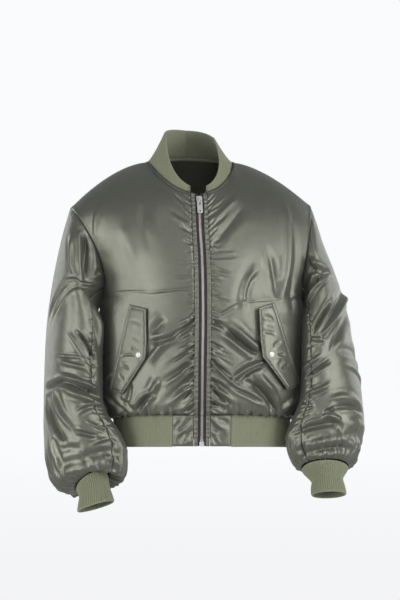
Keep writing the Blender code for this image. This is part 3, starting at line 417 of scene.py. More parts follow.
def body_row(side, half, shares, v):
    """Points of one row of a half panel at shares of its length from the centre line, for x above 0."""
    shares = np.asarray(shares, float)
    points = bare_row(side, half, shares, v)
    if v > CROWN_V:
        even = np.linspace(0, 1, FINE)
        offsets = top_edge(half, even) - bare_row(side, half, even, 1.0)
        lift = (v - CROWN_V) / (1 - CROWN_V) * math.pi / 2
        towards = np.array([1 - math.cos(lift), 1 - math.cos(lift), math.sin(lift)])
        points = points + softened(offsets, even, shares, CORNER_SPREAD * (1 - v)) * towards
    return points


def row_share(side, s, v, half="front"):
    """The share of a row at the distance s from the centre line."""
    row = body_row(side, half, np.linspace(0, 1, FINE), v)
    return s / places_along(row)[-1]


def stand(points, side=None):
    """Mirrors a half to its side, and gives it the wearer's lean and turn."""
    points = np.array(points, float)
    if side:
        points[..., 0] *= SIDES[side]
    x, y, z = points[..., 0], points[..., 1], points[..., 2]
    places = column(STANCE, STANCE_NAMES, "z")
    shift, turn, tilt = (smooth(z, places, column(STANCE, STANCE_NAMES, name)) for name in STANCE_NAMES[1:])
    turn = np.radians(turn)
    across = x * np.cos(turn) - y * np.sin(turn) + shift
    return np.stack([across, x * np.sin(turn) + y * np.cos(turn), z + tilt * x], axis=-1)


def facing(sheet):
    """Unit normals of a grid, from its neighbours' differences."""
    across, up = np.gradient(sheet, axis=1), np.gradient(sheet, axis=0)
    normal = np.cross(across, up)
    return normal / np.maximum(np.linalg.norm(normal, axis=2, keepdims=True), 1e-9)


def walked(sheet, axis):
    """How far each point of a grid is from its first row (axis 0) or first column (axis 1), along the
    cloth.
    """
    steps = np.linalg.norm(np.diff(sheet, axis=axis), axis=2)
    start = np.zeros((1, steps.shape[1])) if axis == 0 else np.zeros((steps.shape[0], 1))
    return np.concatenate([start, np.cumsum(steps, axis=axis)], axis=axis)


def eased(x):
    """0 to 1 with soft ends."""
    x = np.clip(x, 0, 1)
    return x * x * (3 - 2 * x)

# ------------------------------------------------------------------ walls of cloth
# Each sewn piece is a closed wall: an outer skin, an inner skin, and the rims that join them.
# Its UV map is in metres along and up the cloth, so that weave and knit keep their real size.
CLOTH = 0.0026
SEAM_GAP = 0.0003


def turned_edge(start, end, outwards):
    """Three rows that round the edge from one skin's border to the other's."""
    middle, half = (start + end) / 2, (start - end) / 2
    reach = np.linalg.norm(half, axis=1, keepdims=True)
    out = outwards / np.maximum(np.linalg.norm(outwards, axis=1, keepdims=True), 1e-9)
    return [
        middle + half * math.cos(t) + out * reach * math.sin(t)
        for t in (math.pi / 4, math.pi / 2, 3 * math.pi / 4)
    ]


def cloth_wall(
    name, outer, inner, along, up, finish, tube=False, round_top=False, round_foot=False, marks=None
):
    """A closed wall from two grids of points that face out, as an object. marks are numbers kept on its
    points.
    """
    rows = list(outer)
    flat = [np.stack(pair, axis=1) for pair in zip(along, up)]
    marked = {key: list(grid) for key, grid in (marks or {}).items()}
    kinds = ["outer"] * len(rows)
    if round_top:
        rows += turned_edge(outer[-1], inner[-1], outer[-1] - outer[-2])
        flat += [flat[-1]] * 3
        kinds += ["top"] * 3
    count = len(outer)
    rows += list(inner[::-1])
    flat += flat[:count][::-1]
    kinds += ["inner"] * count
    if round_foot:
        rows += turned_edge(inner[0], outer[0], outer[0] - outer[1])
        flat += [flat[0]] * 3
        kinds += ["foot"] * 3
    for key, grid in marked.items():
        top = [grid[-1]] * 3 if round_top else []
        foot = [grid[0]] * 3 if round_foot else []
        marked[key] = grid + top + grid[::-1] + foot
    points, flat = np.array(rows), np.array(flat)
    total, across = points.shape[:2]
    kept = across - 1 if tube else across
    i, j = np.meshgrid(np.arange(total), np.arange(across - 1), indexing="ij")
    low, high = i.ravel(), (i.ravel() + 1) % total
    left, right = j.ravel(), j.ravel() + 1
    corners = np.stack(
        [low * kept + left, low * kept + right % kept, high * kept + right % kept, high * kept + left], 1
    )
    uv = np.stack([flat[low, left], flat[low, right], flat[high, right], flat[high, left]], 1)
    faces, uvs = corners.tolist(), uv.reshape(-1, 2).tolist()
    if not tube:
        where = {
            kind: [k for k in range(total) if kinds[k] == kind] for kind in ("outer", "top", "inner", "foot")
        }
        out, inn = where["outer"], where["inner"][::-1]
        for end, turn in ((0, 1), (across - 1, -1)):
            rims = [(out[k], out[k + 1], inn[k + 1], inn[k]) for k in range(count - 1)]
            if round_top:
                rims.append((out[-1], *where["top"], inn[-1]))
            if round_foot:
                rims.append((inn[0], *where["foot"], out[0]))
            for rim in rims:
                rim = rim[::turn]
                faces.append([k * kept + end for k in rim])
                uvs += [flat[k, end].tolist() for k in rim]
    mesh = bpy.data.meshes.new(name)
    mesh.from_pydata(points[:, :kept].reshape(-1, 3).tolist(), [], faces)
    layer = mesh.uv_layers.new(name="cloth")
    layer.uv.foreach_set("vector", np.array(uvs, np.float32).ravel())
    for key, grid in marked.items():
        mark = mesh.attributes.new(key, "FLOAT", "POINT")
        mark.data.foreach_set("value", np.array(grid, np.float32)[:, :kept].ravel())
    mesh.shade_smooth()
    mesh.materials.append(finish)
    return in_scene(name, mesh)


def held_back(sheet, gap=SEAM_GAP, ends=True, sides=True):
    """The grid with its borders moved in by the seam's gap."""
    sheet = np.array(sheet, float)
    edges = [(0, 1), (-1, -2)]
    for edge, inside in edges if ends else []:
        step = sheet[inside] - sheet[edge]
        sheet[edge] += step / np.maximum(np.linalg.norm(step, axis=-1, keepdims=True), 1e-9) * gap
    for edge, inside in edges if sides else []:
        step = sheet[:, inside] - sheet[:, edge]
        sheet[:, edge] += step / np.maximum(np.linalg.norm(step, axis=-1, keepdims=True), 1e-9) * gap
    return sheet


def cut_size(sheet):
    """Width, length and area of a sheet of cloth, as cut."""
    across, up = walked(sheet, 1), walked(sheet, 0)
    width, length = float(across[:, -1].max()), float(up[-1].max())
    quads = np.cross(sheet[1:, 1:] - sheet[:-1, :-1], sheet[1:, :-1] - sheet[:-1, 1:])
    return (width, length), float(np.linalg.norm(quads, axis=2).sum() / 2)


def joins_jacket(piece, slot, *nodes):
    """A piece rides on the jacket and stands in for these nodes of the frame, which are hidden. Its slot is
    not used.
    """
    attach(piece, "jacket")
    if nodes:
        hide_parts(*nodes)


def is_cloth(sheet):
    """Measures a sheet's cut, counting a narrow strip as at least 10 mm wide and long. Nothing is done with
    the sizes.
    """
    (width, length), area = cut_size(sheet)
    width, length = max(width, 0.010), max(length, 0.010)

# ------------------------------------------------------------------ creases and gathers
# Satin over wadding creases in soft troughs with a ridge on each side. Each crease is a bowed line on the
# cloth. Its reach is half its width and its height is how far it stands off the cloth: under 0 it is a
# trough.
def thousandths(rows, kept=()):
    """The rows of a crease table in metres and shares. Columns in kept, which are degrees, stay as they
    are.
    """
    return [[value if k in kept else value / 1000 for k, value in enumerate(row)] for row in rows]


def creased(rows, along, up, pinched=None):
    """The height at each point of a cloth that these creases give. A pinched end stays deep and narrow
    at its seam.
    """
    height = np.zeros(along.shape)
    for a0, b0, a1, b1, bow, reach, tall in rows:
        long = math.hypot(a1 - a0, b1 - b0)
        run_a, run_b = (a1 - a0) / long, (b1 - b0) / long
        t = ((along - a0) * run_a + (up - b0) * run_b) / long
        inside = np.clip(t, 0, 1)
        off = (along - a0) * run_b - (up - b0) * run_a - bow * 4 * inside * (1 - inside)
        beyond = (t - inside) * long
        if pinched is not None and abs(a0 - pinched) < 0.004:
            wide = reach * (0.55 + 0.75 * inside)
            swell = eased((1 - t) / 0.75) * (t > -0.2)
        else:
            wide = reach
            swell = eased((t + 0.12) / 0.42) * eased((1.12 - t) / 0.42)
        q = np.sqrt(off**2 + np.where(swell > 0, 0, beyond) ** 2) / wide
        crest = np.exp(-(q**2)) if tall > 0 else np.exp(-1.5 * (np.sqrt(q**2 + 0.09) - 0.3))
        height += tall * swell * (crest - 0.32 * np.exp(-(((q - 2.1) / 1.05) ** 2)))
    return height


def gathers(seed, start, end, spacing, long, reach, tall, slant=0.0, edge=0.0, upright=False, turn=1.0):
    """Small uneven troughs and ridges that run in from a sewn edge, from start to end along it."""
    dice = np.random.default_rng(seed)
    rows, place, sign = [], start, -1
    while place < end:
        place += spacing * dice.uniform(0.55, 1.55)
        size = dice.uniform(0.45, 1.35)
        run = long * dice.uniform(0.5, 1.4) * (0.6 + 0.4 * size)
        lean = (slant + dice.uniform(-0.25, 0.25)) * run
        bow = dice.uniform(-0.1, 0.1) * run
        width = reach * dice.uniform(0.7, 1.3)
        height = sign * tall * size * (1.0 if sign < 0 else 0.7)
        if upright:
            rows.append((place, edge, place + lean, edge + run * turn, bow, width, height))
        else:
            rows.append((edge, place, edge + run * turn, place + lean, bow, width, height))
        sign = -sign
    return rows


def lapped(distance, wide=0.0065, tall=0.0009):
    """A seam pressed to one side and sewn down: a raised lap beside the seam, and a groove where it is
    stitched.
    """
    lap = tall * eased(distance / 0.0012) * (1 - eased((distance - wide) / 0.0030))
    return lap - 0.0007 * np.exp(-(((distance - wide * 0.9) / 0.0012) ** 2))


def sunk(distance, deep=0.0016, reach=0.0050):
    """How far a cloth dips beside a seam."""
    return -deep * np.exp(-((distance / reach) ** 2))

# ------------------------------------------------------------------ stitches
# Each seam and edge is sewn down with tonal thread, one row of small lock stitches. The thread is coloured
# near black, far darker than tonal: painted shade of the stitched grooves.
# A stitch is a short capsule, half sunk in the cloth, and its row follows a line that lies on the cloth.
STITCH_LONG, STITCH_THICK, STITCH_SPACING = 0.0027, 0.0010, 0.0031
# The thread's near-black colour is painted shade of the stitched grooves, not the thread's own tone.
thread = plain_material("stitch_thread_painted_shade", (0.030, 0.031, 0.024), 0.7)


def row_tree(name):
    """Geometry nodes: one item at each step along the object's lines, its Z along the line and its Y
    outwards.
    """
    tree = bpy.data.node_groups.new(name, "GeometryNodeTree")
    sockets = {}
    tree.interface.new_socket("Lines", in_out="INPUT", socket_type="NodeSocketGeometry")
    for label, kind, value in (
        ("Spacing", "NodeSocketFloat", 0.003),
        ("Unevenness", "NodeSocketFloat", 0.1),
        ("Seed", "NodeSocketInt", 1),
        ("Item", "NodeSocketObject", None),
        ("Finish", "NodeSocketMaterial", None),
    ):
        socket = tree.interface.new_socket(label, in_out="INPUT", socket_type=kind)
        if value is not None:
            socket.default_value = value
        sockets[label] = socket.identifier
    tree.interface.new_socket("Row", in_out="OUTPUT", socket_type="NodeSocketGeometry")
    new, link = tree.nodes.new, tree.links.new
    given, out = new("NodeGroupInput"), new("NodeGroupOutput")
    curve, resampled = new("GeometryNodeMeshToCurve"), new("GeometryNodeResampleCurve")
    resampled.mode = "LENGTH"
    tangent, outwards = new("GeometryNodeInputTangent"), new("GeometryNodeInputNamedAttribute")
    outwards.data_type = "FLOAT_VECTOR"
    outwards.inputs["Name"].default_value = "outwards"
    turned = new("FunctionNodeAxesToRotation")
    turned.primary_axis, turned.secondary_axis = "Z", "Y"
    uneven = new("FunctionNodeRandomValue")
    uneven.data_type = "FLOAT"
    less, more = new("ShaderNodeMath"), new("ShaderNodeMath")
    less.operation, more.operation = "SUBTRACT", "ADD"
    less.inputs[0].default_value = more.inputs[0].default_value = 1.0
    item, placed = new("GeometryNodeObjectInfo"), new("GeometryNodeInstanceOnPoints")
    real, finished = new("GeometryNodeRealizeInstances"), new("GeometryNodeSetMaterial")
    link(given.outputs["Lines"], curve.inputs["Mesh"])
    link(curve.outputs["Curve"], resampled.inputs["Curve"])
    link(given.outputs["Spacing"], resampled.inputs["Length"])
    link(resampled.outputs["Curve"], placed.inputs["Points"])
    link(given.outputs["Item"], item.inputs["Object"])
    link(item.outputs["Geometry"], placed.inputs["Instance"])
    link(tangent.outputs["Tangent"], turned.inputs["Primary Axis"])
    link(outwards.outputs["Attribute"], turned.inputs["Secondary Axis"])
    link(turned.outputs["Rotation"], placed.inputs["Rotation"])
    link(given.outputs["Unevenness"], less.inputs[1])
    link(given.outputs["Unevenness"], more.inputs[1])
    link(less.outputs[0], [s for s in uneven.inputs if s.name == "Min" and s.type == "VALUE"][0])
    link(more.outputs[0], [s for s in uneven.inputs if s.name == "Max" and s.type == "VALUE"][0])
    link(given.outputs["Seed"], uneven.inputs["Seed"])
    link([s for s in uneven.outputs if s.type == "VALUE"][0], placed.inputs["Scale"])
    link(placed.outputs["Instances"], real.inputs["Geometry"])
    link(real.outputs["Geometry"], finished.inputs["Geometry"])
    link(given.outputs["Finish"], finished.inputs["Material"])
    link(finished.outputs["Geometry"], out.inputs["Row"])
    return tree, sockets


item_row, item_row_sockets = row_tree("items_along_lines")


def rows_of_items(name, lines, item, spacing, finish, uneven=0.1, seed=1):
    """A plain mesh of items along lines. Each line is a pair: its points, and the way out of the cloth
    at each.
    """
    points, edges, outs = [], [], []
    for line, out in lines:
        edges += [(len(points) + k, len(points) + k + 1) for k in range(len(line) - 1)]
        points += np.asarray(line).tolist()
        outs += np.asarray(out).tolist()
    mesh = bpy.data.meshes.new(name)
    mesh.from_pydata(points, edges, [])
    mark = mesh.attributes.new("outwards", "FLOAT_VECTOR", "POINT")
    mark.data.foreach_set("vector", np.array(outs, np.float32).ravel())
    base, helper = in_scene(name + "_lines", mesh), in_scene(name + "_item", item)
    step = base.modifiers.new("row", "NODES")
    step.node_group = item_row
    values = {"Spacing": spacing, "Unevenness": uneven, "Seed": seed, "Item": helper, "Finish": finish}
    for label, value in values.items():
        step[item_row_sockets[label]] = value
    return plain_copy(name, base, helper)


def plain_copy(name, base, *helpers):
    """The evaluated object as a plain mesh object. The base and its helpers are removed."""
    bpy.context.view_layer.update()
    evaluated = base.evaluated_get(bpy.context.evaluated_depsgraph_get())
    mesh = bpy.data.meshes.new_from_object(evaluated)
    mesh.name = name
    for item in (base, *helpers):
        bpy.data.objects.remove(item)
    for key in ("outwards", "rib_along", "rib_share"):
        if key in mesh.attributes:
            mesh.attributes.remove(mesh.attributes[key])
    return in_scene(name, mesh)


def stitch_mesh():
    """One stitch of the top-stitching: a short round-ended thread."""
    build = bmesh.new()
    bmesh.ops.create_uvsphere(build, u_segments=6, v_segments=4, radius=0.5)
    bmesh.ops.scale(build, vec=(STITCH_THICK, STITCH_THICK * 0.8, STITCH_LONG), verts=build.verts)
    mesh = bpy.data.meshes.new("stitch")
    build.to_mesh(mesh)
    build.free()
    mesh.shade_smooth()
    return mesh


def stitches(name, lines, seed=1):
    """Top-stitching along these lines, in thread."""
    made = rows_of_items(name, lines, stitch_mesh(), STITCH_SPACING, thread, 0.12, seed)
    joins_jacket(made, "olive_satin")
    return made


def inset_line(sheet, inset, edge, lift=0.0, start=0.0, end=1.0):
    """A line on a grid at a distance from one of its edges, and the way out along it."""
    grid, out = sheet, facing(sheet)
    if edge in ("low", "high"):
        grid, out = grid.transpose(1, 0, 2), out.transpose(1, 0, 2)
    if edge in ("last", "high"):
        grid, out = grid[:, ::-1], out[:, ::-1]
    first, last = int(start * len(grid)), int(end * len(grid))
    grid, out = grid[first:last], out[first:last]
    away = walked(grid, 1)
    line = [[np.interp(inset, away[k], grid[k, :, c]) for c in range(3)] for k in range(len(grid))]
    outs = [[np.interp(inset, away[k], out[k, :, c]) for c in range(3)] for k in range(len(grid))]
    line, outs = np.array(line), np.array(outs)
    return line + outs * lift, outs

# ------------------------------------------------------------------ the fronts
# Two satin fronts, cut fuller than the zip they are sewn to, so that their inner edges are shirred all
# the way down. The cloth is creased from packing across the middle, and it folds deeply where it blouses
# over the hem band.
FRONT_ROWS_OF_GRID = (132, 80)  # below and above the underarm
FRONT_COLUMNS = (76, 50)  # under the neckline and under the shoulder seam
CREASE_GAIN = 1.45
CHEST_CALM = 0.45  # how much shallower the creases are on the upper chest
FRONT_CREASES = {
    # along from the zip's edge, up from the hem seam: start, end, bow, reach and height, in mm
    "left": (
        (4, 333, 57, 333, 0, 2.2, -2.4), (7, 342, 55, 336, 0, 2, 1.4), (2, 314, 47, 301, 0, 2.4, -1.8),
        (2, 304, 52, 296, 0, 3, 1.2), (1, 254, 43, 241, 0, 2.2, -2.2), (43, 241, 143, 249, 0, 1.8, -1.3),
        (154, 249, 261, 291, 0, 1.6, 1.2), (0, 229, 20, 221, 0, 2.4, -2.4), (14, 213, 55, 236, 0, 3, 1.4),
        (0, 203, 33, 187, -2, 4.5, -6), (30, 190, 101, 132, 3, 6.5, -8), (22, 179, 90, 130, 2, 5, 3.5),
        (44, 195, 109, 140, 2, 7, 3), (100, 322, 65, 231, 7, 7, 3.5), (93, 301, 74, 246, 4, 5, -3),
        (124, 348, 145, 256, -7, 8, -4.5), (209, 423, 157, 249, 4, 7, 4), (207, 376, 187, 226, 0, 9, -4),
        (99, 404, 11, 365, 4, 9, -4), (90, 423, 5, 410, 4, 6, 3), (196, 453, 119, 410, 0, 7, -2.5),
        (49, 441, 2, 436, 0, 3, -2), (46, 407, 2, 396, 2, 3.5, -2.2), (29, 368, 0, 359, 2, 3, -2),
        (0, 157, 28, 143, 2, 3.5, -4), (0, 137, 37, 130, 0, 3, -2.2), (0, 119, 109, 36, 7, 4, 4.5),
        (2, 124, 42, 87, 0, 3, -3), (41, 75, 115, 119, -9, 5, 5), (63, 83, 118, 114, -4, 3.2, -4),
        (79, 80, 147, 14, -7, 7.5, -10), (76, 90, 92, 73, 0, 4, 3), (48, 66, 111, 36, 0, 3.5, -5),
        (1, 85, 53, 47, 0, 5, -4.5), (1, 75, 57, 34, 2, 4, 3), (0, 66, 53, 20, 0, 4, -6),
        (0, 36, 43, 14, 0, 4, -5), (0, 45, 44, 25, 0, 3, 2.5), (181, 12, 299, 47, 0, 4, 3),
        (159, 22, 213, 57, 0, 5, 3), (101, 99, 142, 59, 4, 7, 3.5), (66, 148, 109, 127, 0, 3, 1.5),
    ),
    "right": (
        (186, 274, 86, 264, 0, 2, -1.3), (91, 264, 4, 271, 0, 2.2, -2.2), (0, 208, 35, 179, 2, 3, -5),
        (30, 182, 93, 162, 7, 5, -5), (0, 219, 51, 182, 4, 5, 3), (0, 193, 22, 176, 0, 3, -4),
        (0, 200, 61, 162, 4, 4, 3.5), (1, 151, 59, 112, 2, 3, -4), (0, 165, 46, 130, 2, 5, 3),
        (0, 132, 71, 71, 4, 5, -4), (0, 119, 81, 61, 4, 5, 4), (0, 102, 62, 43, 4, 4.5, -4.5),
        (0, 87, 70, 22, 7, 5, 4), (0, 64, 45, 30, 2, 4, -4), (0, 47, 36, 14, 2, 4, 3.5),
        (0, 30, 25, 6, 0, 4, -3.5), (88, 54, 124, 18, -4, 5, -9), (76, 85, 101, 45, 4, 6, 5),
        (101, 41, 80, 50, 0, 4, 3), (90, 179, 63, 208, 0, 8, -4), (95, 119, 51, 165, 4, 7, 4.5),
        (137, 76, 150, 32, 0, 5, -5), (165, 47, 133, 20, 0, 4, -3.5), (231, 68, 181, 34, -2, 3.5, 4),
        (196, 45, 149, 18, 0, 5, -4), (200, 143, 277, 114, 2, 4, -3.5), (187, 102, 248, 71, 2, 4, 3),
        (44, 459, 13, 447, 0, 4, -3), (28, 395, 0, 381, 0, 4, -3.5), (21, 367, 0, 364, 0, 3, -2.5),
        (52, 403, 4, 403, 0, 5, 2.5), (164, 387, 127, 327, 4, 9, 3), (233, 432, 230, 390, 0, 7, 3.5),
        (119, 403, 93, 341, 0, 12, -3), (33, 325, 0, 319, 0, 3, -2), (39, 296, 1, 291, 0, 3, -2),
    ),
}
# The flap pockets, seen square on: each is sewn along a slanting edge and hangs inwards from it.
FLAP_TOP = {"right": (-0.1265, -0.309), "left": (0.1740, -0.305)}
FLAP_BOTTOM = {"right": (-0.1720, -0.488), "left": (0.2300, -0.478)}
FLAP_WIDTH = 0.061
FLAP_SHAPE = ((0.00, 0.60), (0.36, 0.90), (0.54, 1.00), (1.00, 0.55))


# how far each side is filled out, from the lowest height up
SIDE_FILL = {
    "right": (
        (-0.575, 0.0), (-0.56, 0.003), (-0.50, 0.0040), (-0.42, 0.0045), (-0.38, 0.0065),
        (-0.34, 0.013), (-0.31, 0.014),
        (-0.255, 0.0),
    ),
    "left": (
        (-0.575, 0.0), (-0.56, 0.001), (-0.50, 0.0015), (-0.40, 0.0015), (-0.35, 0.005),
        (-0.325, 0.012), (-0.30, 0.012),
        (-0.255, 0.0),
    ),
}


def panel_heights(counts):
    """Heights of a panel's rows: this many up to the underarm, and this many above it."""
    below = np.linspace(0, UNDERARM_V, counts[0])
    return np.concatenate([below, np.linspace(UNDERARM_V, 1, counts[1] + 1)[1:]])


def front_form(side):
    """A front's grid from the zip's edge to the side, before its creases."""
    dense = np.linspace(0, 1, FRONT_COLUMNS[0]) ** 1.4
    rows = []
    for v in panel_heights(FRONT_ROWS_OF_GRID):
        start = row_share(side, PLACKET_EDGE, v)
        neck = start + (NECK_SHARE["front"] - start) * dense
        shares = np.concatenate([neck, np.linspace(NECK_SHARE["front"], 1, FRONT_COLUMNS[1] + 1)[1:]])
        rows.append(stand(body_row(side, "front", shares, v), side))
    return filled_side(np.array(rows))


def filled_side(grid):
    """The wadding fills the body out a little at its sides, between the underarm and the waist."""
    filled = np.array(grid)
    for side, table in SIDE_FILL.items():
        heights, amounts = np.array(table).T
        near = eased((SIDES[side] * grid[..., 0] - 0.12) / 0.06)
        filled[..., 0] += SIDES[side] * near * np.interp(grid[..., 2], heights, amounts)
    return filled


def under_flap(side, sheet, margin=0.006):
    """1 where a front lies under its pocket flap, with a soft border, else 0."""
    top, bottom = np.array(FLAP_TOP[side]), np.array(FLAP_BOTTOM[side])
    edge = bottom - top
    long = np.linalg.norm(edge)
    inwards = np.array([-edge[1], edge[0]]) / long * (1 if side == "right" else -1)
    away = sheet[..., [0, 2]] - top
    share, depth = away @ edge / long**2, away @ inwards
    width = FLAP_WIDTH * np.interp(share, *np.array(FLAP_SHAPE).T)
    room = np.minimum(np.minimum(share * long, (1 - share) * long), np.minimum(depth, width - depth))
    return eased((room + margin) / (2 * margin)) * (sheet[..., 1] < 0)


# up the zip's edge: start, end, spacing, length, reach, height and slant
FRONT_GATHERS = (
    (0.00, 0.21, 0.0062, 0.030, 0.0025, 0.0036, -0.55),
    (0.20, 0.36, 0.0066, 0.022, 0.0025, 0.0030, -0.15),
    (0.35, 0.475, 0.0068, 0.022, 0.0023, 0.0022, 0.45),
)
HEM_GATHERS = (0.0095, 0.026, 0.0034, 0.0030)  # along the hem seam: spacing, length, reach and height


def front_gathers(side):
    """The gathers of a front, up the zip's edge and along the hem seam."""
    turn = 1 if side == "left" else 2
    rows = []
    for number, (start, end, spacing, long, reach, tall, slant) in enumerate(FRONT_GATHERS):
        rows += gathers(10 * turn + number, start, end, spacing, long, reach, tall, slant)
    return rows + gathers(10 * turn + 3, 0.03, 0.25, *HEM_GATHERS, upright=True)


def front_sheet(side):
    """A front's outer grid with its creases, facing out, and its places along and up the cloth."""
    form = front_form(side)
    along = walked(form, 1)
    up = np.repeat(walked(form, 0)[:, :1], form.shape[1], axis=1)
    from_low = walked(form, 0)
    from_top = from_low[-1] - from_low
    from_side = along[:, -1:] - along
    normal = facing(form) * (1 if side == "left" else -1)
    sewn = np.minimum(np.minimum(from_side, from_top), from_low)
    height = CREASE_GAIN * creased(thousandths(FRONT_CREASES[side]), along, up, 0.0)
    height *= 1 - CHEST_CALM * eased((up - 0.31) / 0.05)
    height *= eased(sewn / 0.014) * (0.5 + 0.5 * eased(along / 0.010))
    height = height + creased(front_gathers(side), along, up, 0.0) * eased(sewn / 0.004)
    hidden = under_flap(side, form)
    height = height * (1 - hidden) + (np.minimum(height, 0) * 0.4 - 0.0005) * hidden
    height += sunk(from_low) + sunk(from_top, 0.0012) + sunk(along, 0.0012, 0.0030)
    armhole_rows = (panel_heights(FRONT_ROWS_OF_GRID) > UNDERARM_V)[:, None]
    height += np.where(armhole_rows, lapped(from_side), sunk(from_side, 0.0012))
    sheet = form + normal * height[..., None]
    if side == "right":
        return sheet[:, ::-1], along[:, ::-1], up[:, ::-1], form
    return sheet, along, up, form


sheets = {}
for side in SIDES:
    sheet, along, up, form = front_sheet(side)
    sheets[f"front_{side}"] = sheet
    outer = held_back(sheet)
    inner = held_back(sheet - facing(sheet) * CLOTH, 0.002)
    front = cloth_wall(f"front_panel_{side}", outer, inner, along, up, satin)
    joins_jacket(front, "olive_satin", f"front_{side}")
    is_cloth(form)

# ------------------------------------------------------------------ the back
# One satin back, cut in one piece from side seam to side seam and up to the neck and the shoulder seams.
# It blouses over the hem band like the fronts and carries the same packing crease.
BACK_ROWS_OF_GRID = (90, 66)
BACK_COLUMNS = (30, 44)  # across half the neckline, and under the shoulder seam
BACK_CREASES = (
    # along from the centre towards the wearer's left, up from the hem seam, in mm as on the fronts
    (-225, 301, -30, 312, 0, 2.2, -1.4), (-10, 312, 215, 303, 2, 2.2, -1.3),
    (-245, 235, -105, 150, 10, 9, -8), (-235, 255, -120, 190, 6, 8, 4.5), (-120, 160, 10, 120, -10, 8, 5),
    (-150, 130, -50, 80, 8, 7, -6), (250, 250, 120, 170, -10, 9, -7.5), (225, 205, 85, 130, -8, 8, 5),
    (130, 165, 20, 100, 10, 7, -5.5), (170, 120, 60, 60, -6, 6, -6), (-200, 110, -100, 40, 8, 6, -6.5),
    (-90, 90, -20, 30, 6, 5.5, 4.5), (10, 85, 70, 25, -6, 5.5, -5), (-30, 60, -80, 10, 4, 5, -5),
    (150, 75, 210, 20, 6, 6, -6), (-250, 80, -190, 20, -6, 5.5, 4.5), (100, 45, 130, 5, 2, 4.5, 4),
    (-180, 480, -130, 360, 10, 13, -4), (175, 480, 135, 350, -10, 13, -4), (-60, 540, -75, 400, 6, 14, 3),
    (50, 545, 80, 420, -6, 14, 3), (-235, 400, -160, 330, -8, 9, -4.5), (235, 395, 165, 335, 8, 9, -4.5),
    (-10, 260, 90, 220, -8, 8, 3), (-95, 275, -30, 235, 6, 8, -3),
)


def back_form():
    """The back's grid from side to side, before its creases."""
    shares = np.concatenate(
        [
            np.linspace(0, NECK_SHARE["back"], BACK_COLUMNS[0] + 1),
            np.linspace(NECK_SHARE["back"], 1, BACK_COLUMNS[1] + 1)[1:],
        ]
    )
    rows = []
    for v in panel_heights(BACK_ROWS_OF_GRID):
        left = stand(body_row("left", "back", shares, v), "left")
        right = stand(body_row("right", "back", shares, v), "right")
        rows.append(np.concatenate([left[::-1], right[1:]]))
    return filled_side(np.array(rows))


form = back_form()
middle = form.shape[1] // 2
across = walked(form, 1)
along = across[:, middle : middle + 1] - across
up = np.repeat(walked(form, 0)[:, middle : middle + 1], form.shape[1], axis=1)
from_low = walked(form, 0)
from_top, from_side = from_low[-1] - from_low, np.minimum(across, across[:, -1:] - across)
sewn = np.minimum(np.minimum(from_side, from_top), from_low)
height = creased(thousandths(BACK_CREASES), along, up) * eased(sewn / 0.014)
rows = gathers(31, -0.25, 0.25, 0.0095, 0.030, 0.0036, 0.0032, upright=True)
height += creased(rows, along, up) * eased(sewn / 0.004)
height += sunk(from_low) + sunk(from_top, 0.0012)
armhole_rows = (panel_heights(BACK_ROWS_OF_GRID) > UNDERARM_V)[:, None]
height += np.where(armhole_rows, lapped(from_side), sunk(from_side, 0.0012))
sheet = form + facing(form) * height[..., None]
sheets["back"] = sheet
back = cloth_wall(
    "back_panel", held_back(sheet), held_back(sheet - facing(sheet) * CLOTH, 0.002), along, up, satin
)
joins_jacket(back, "olive_satin", "back")
is_cloth(form)

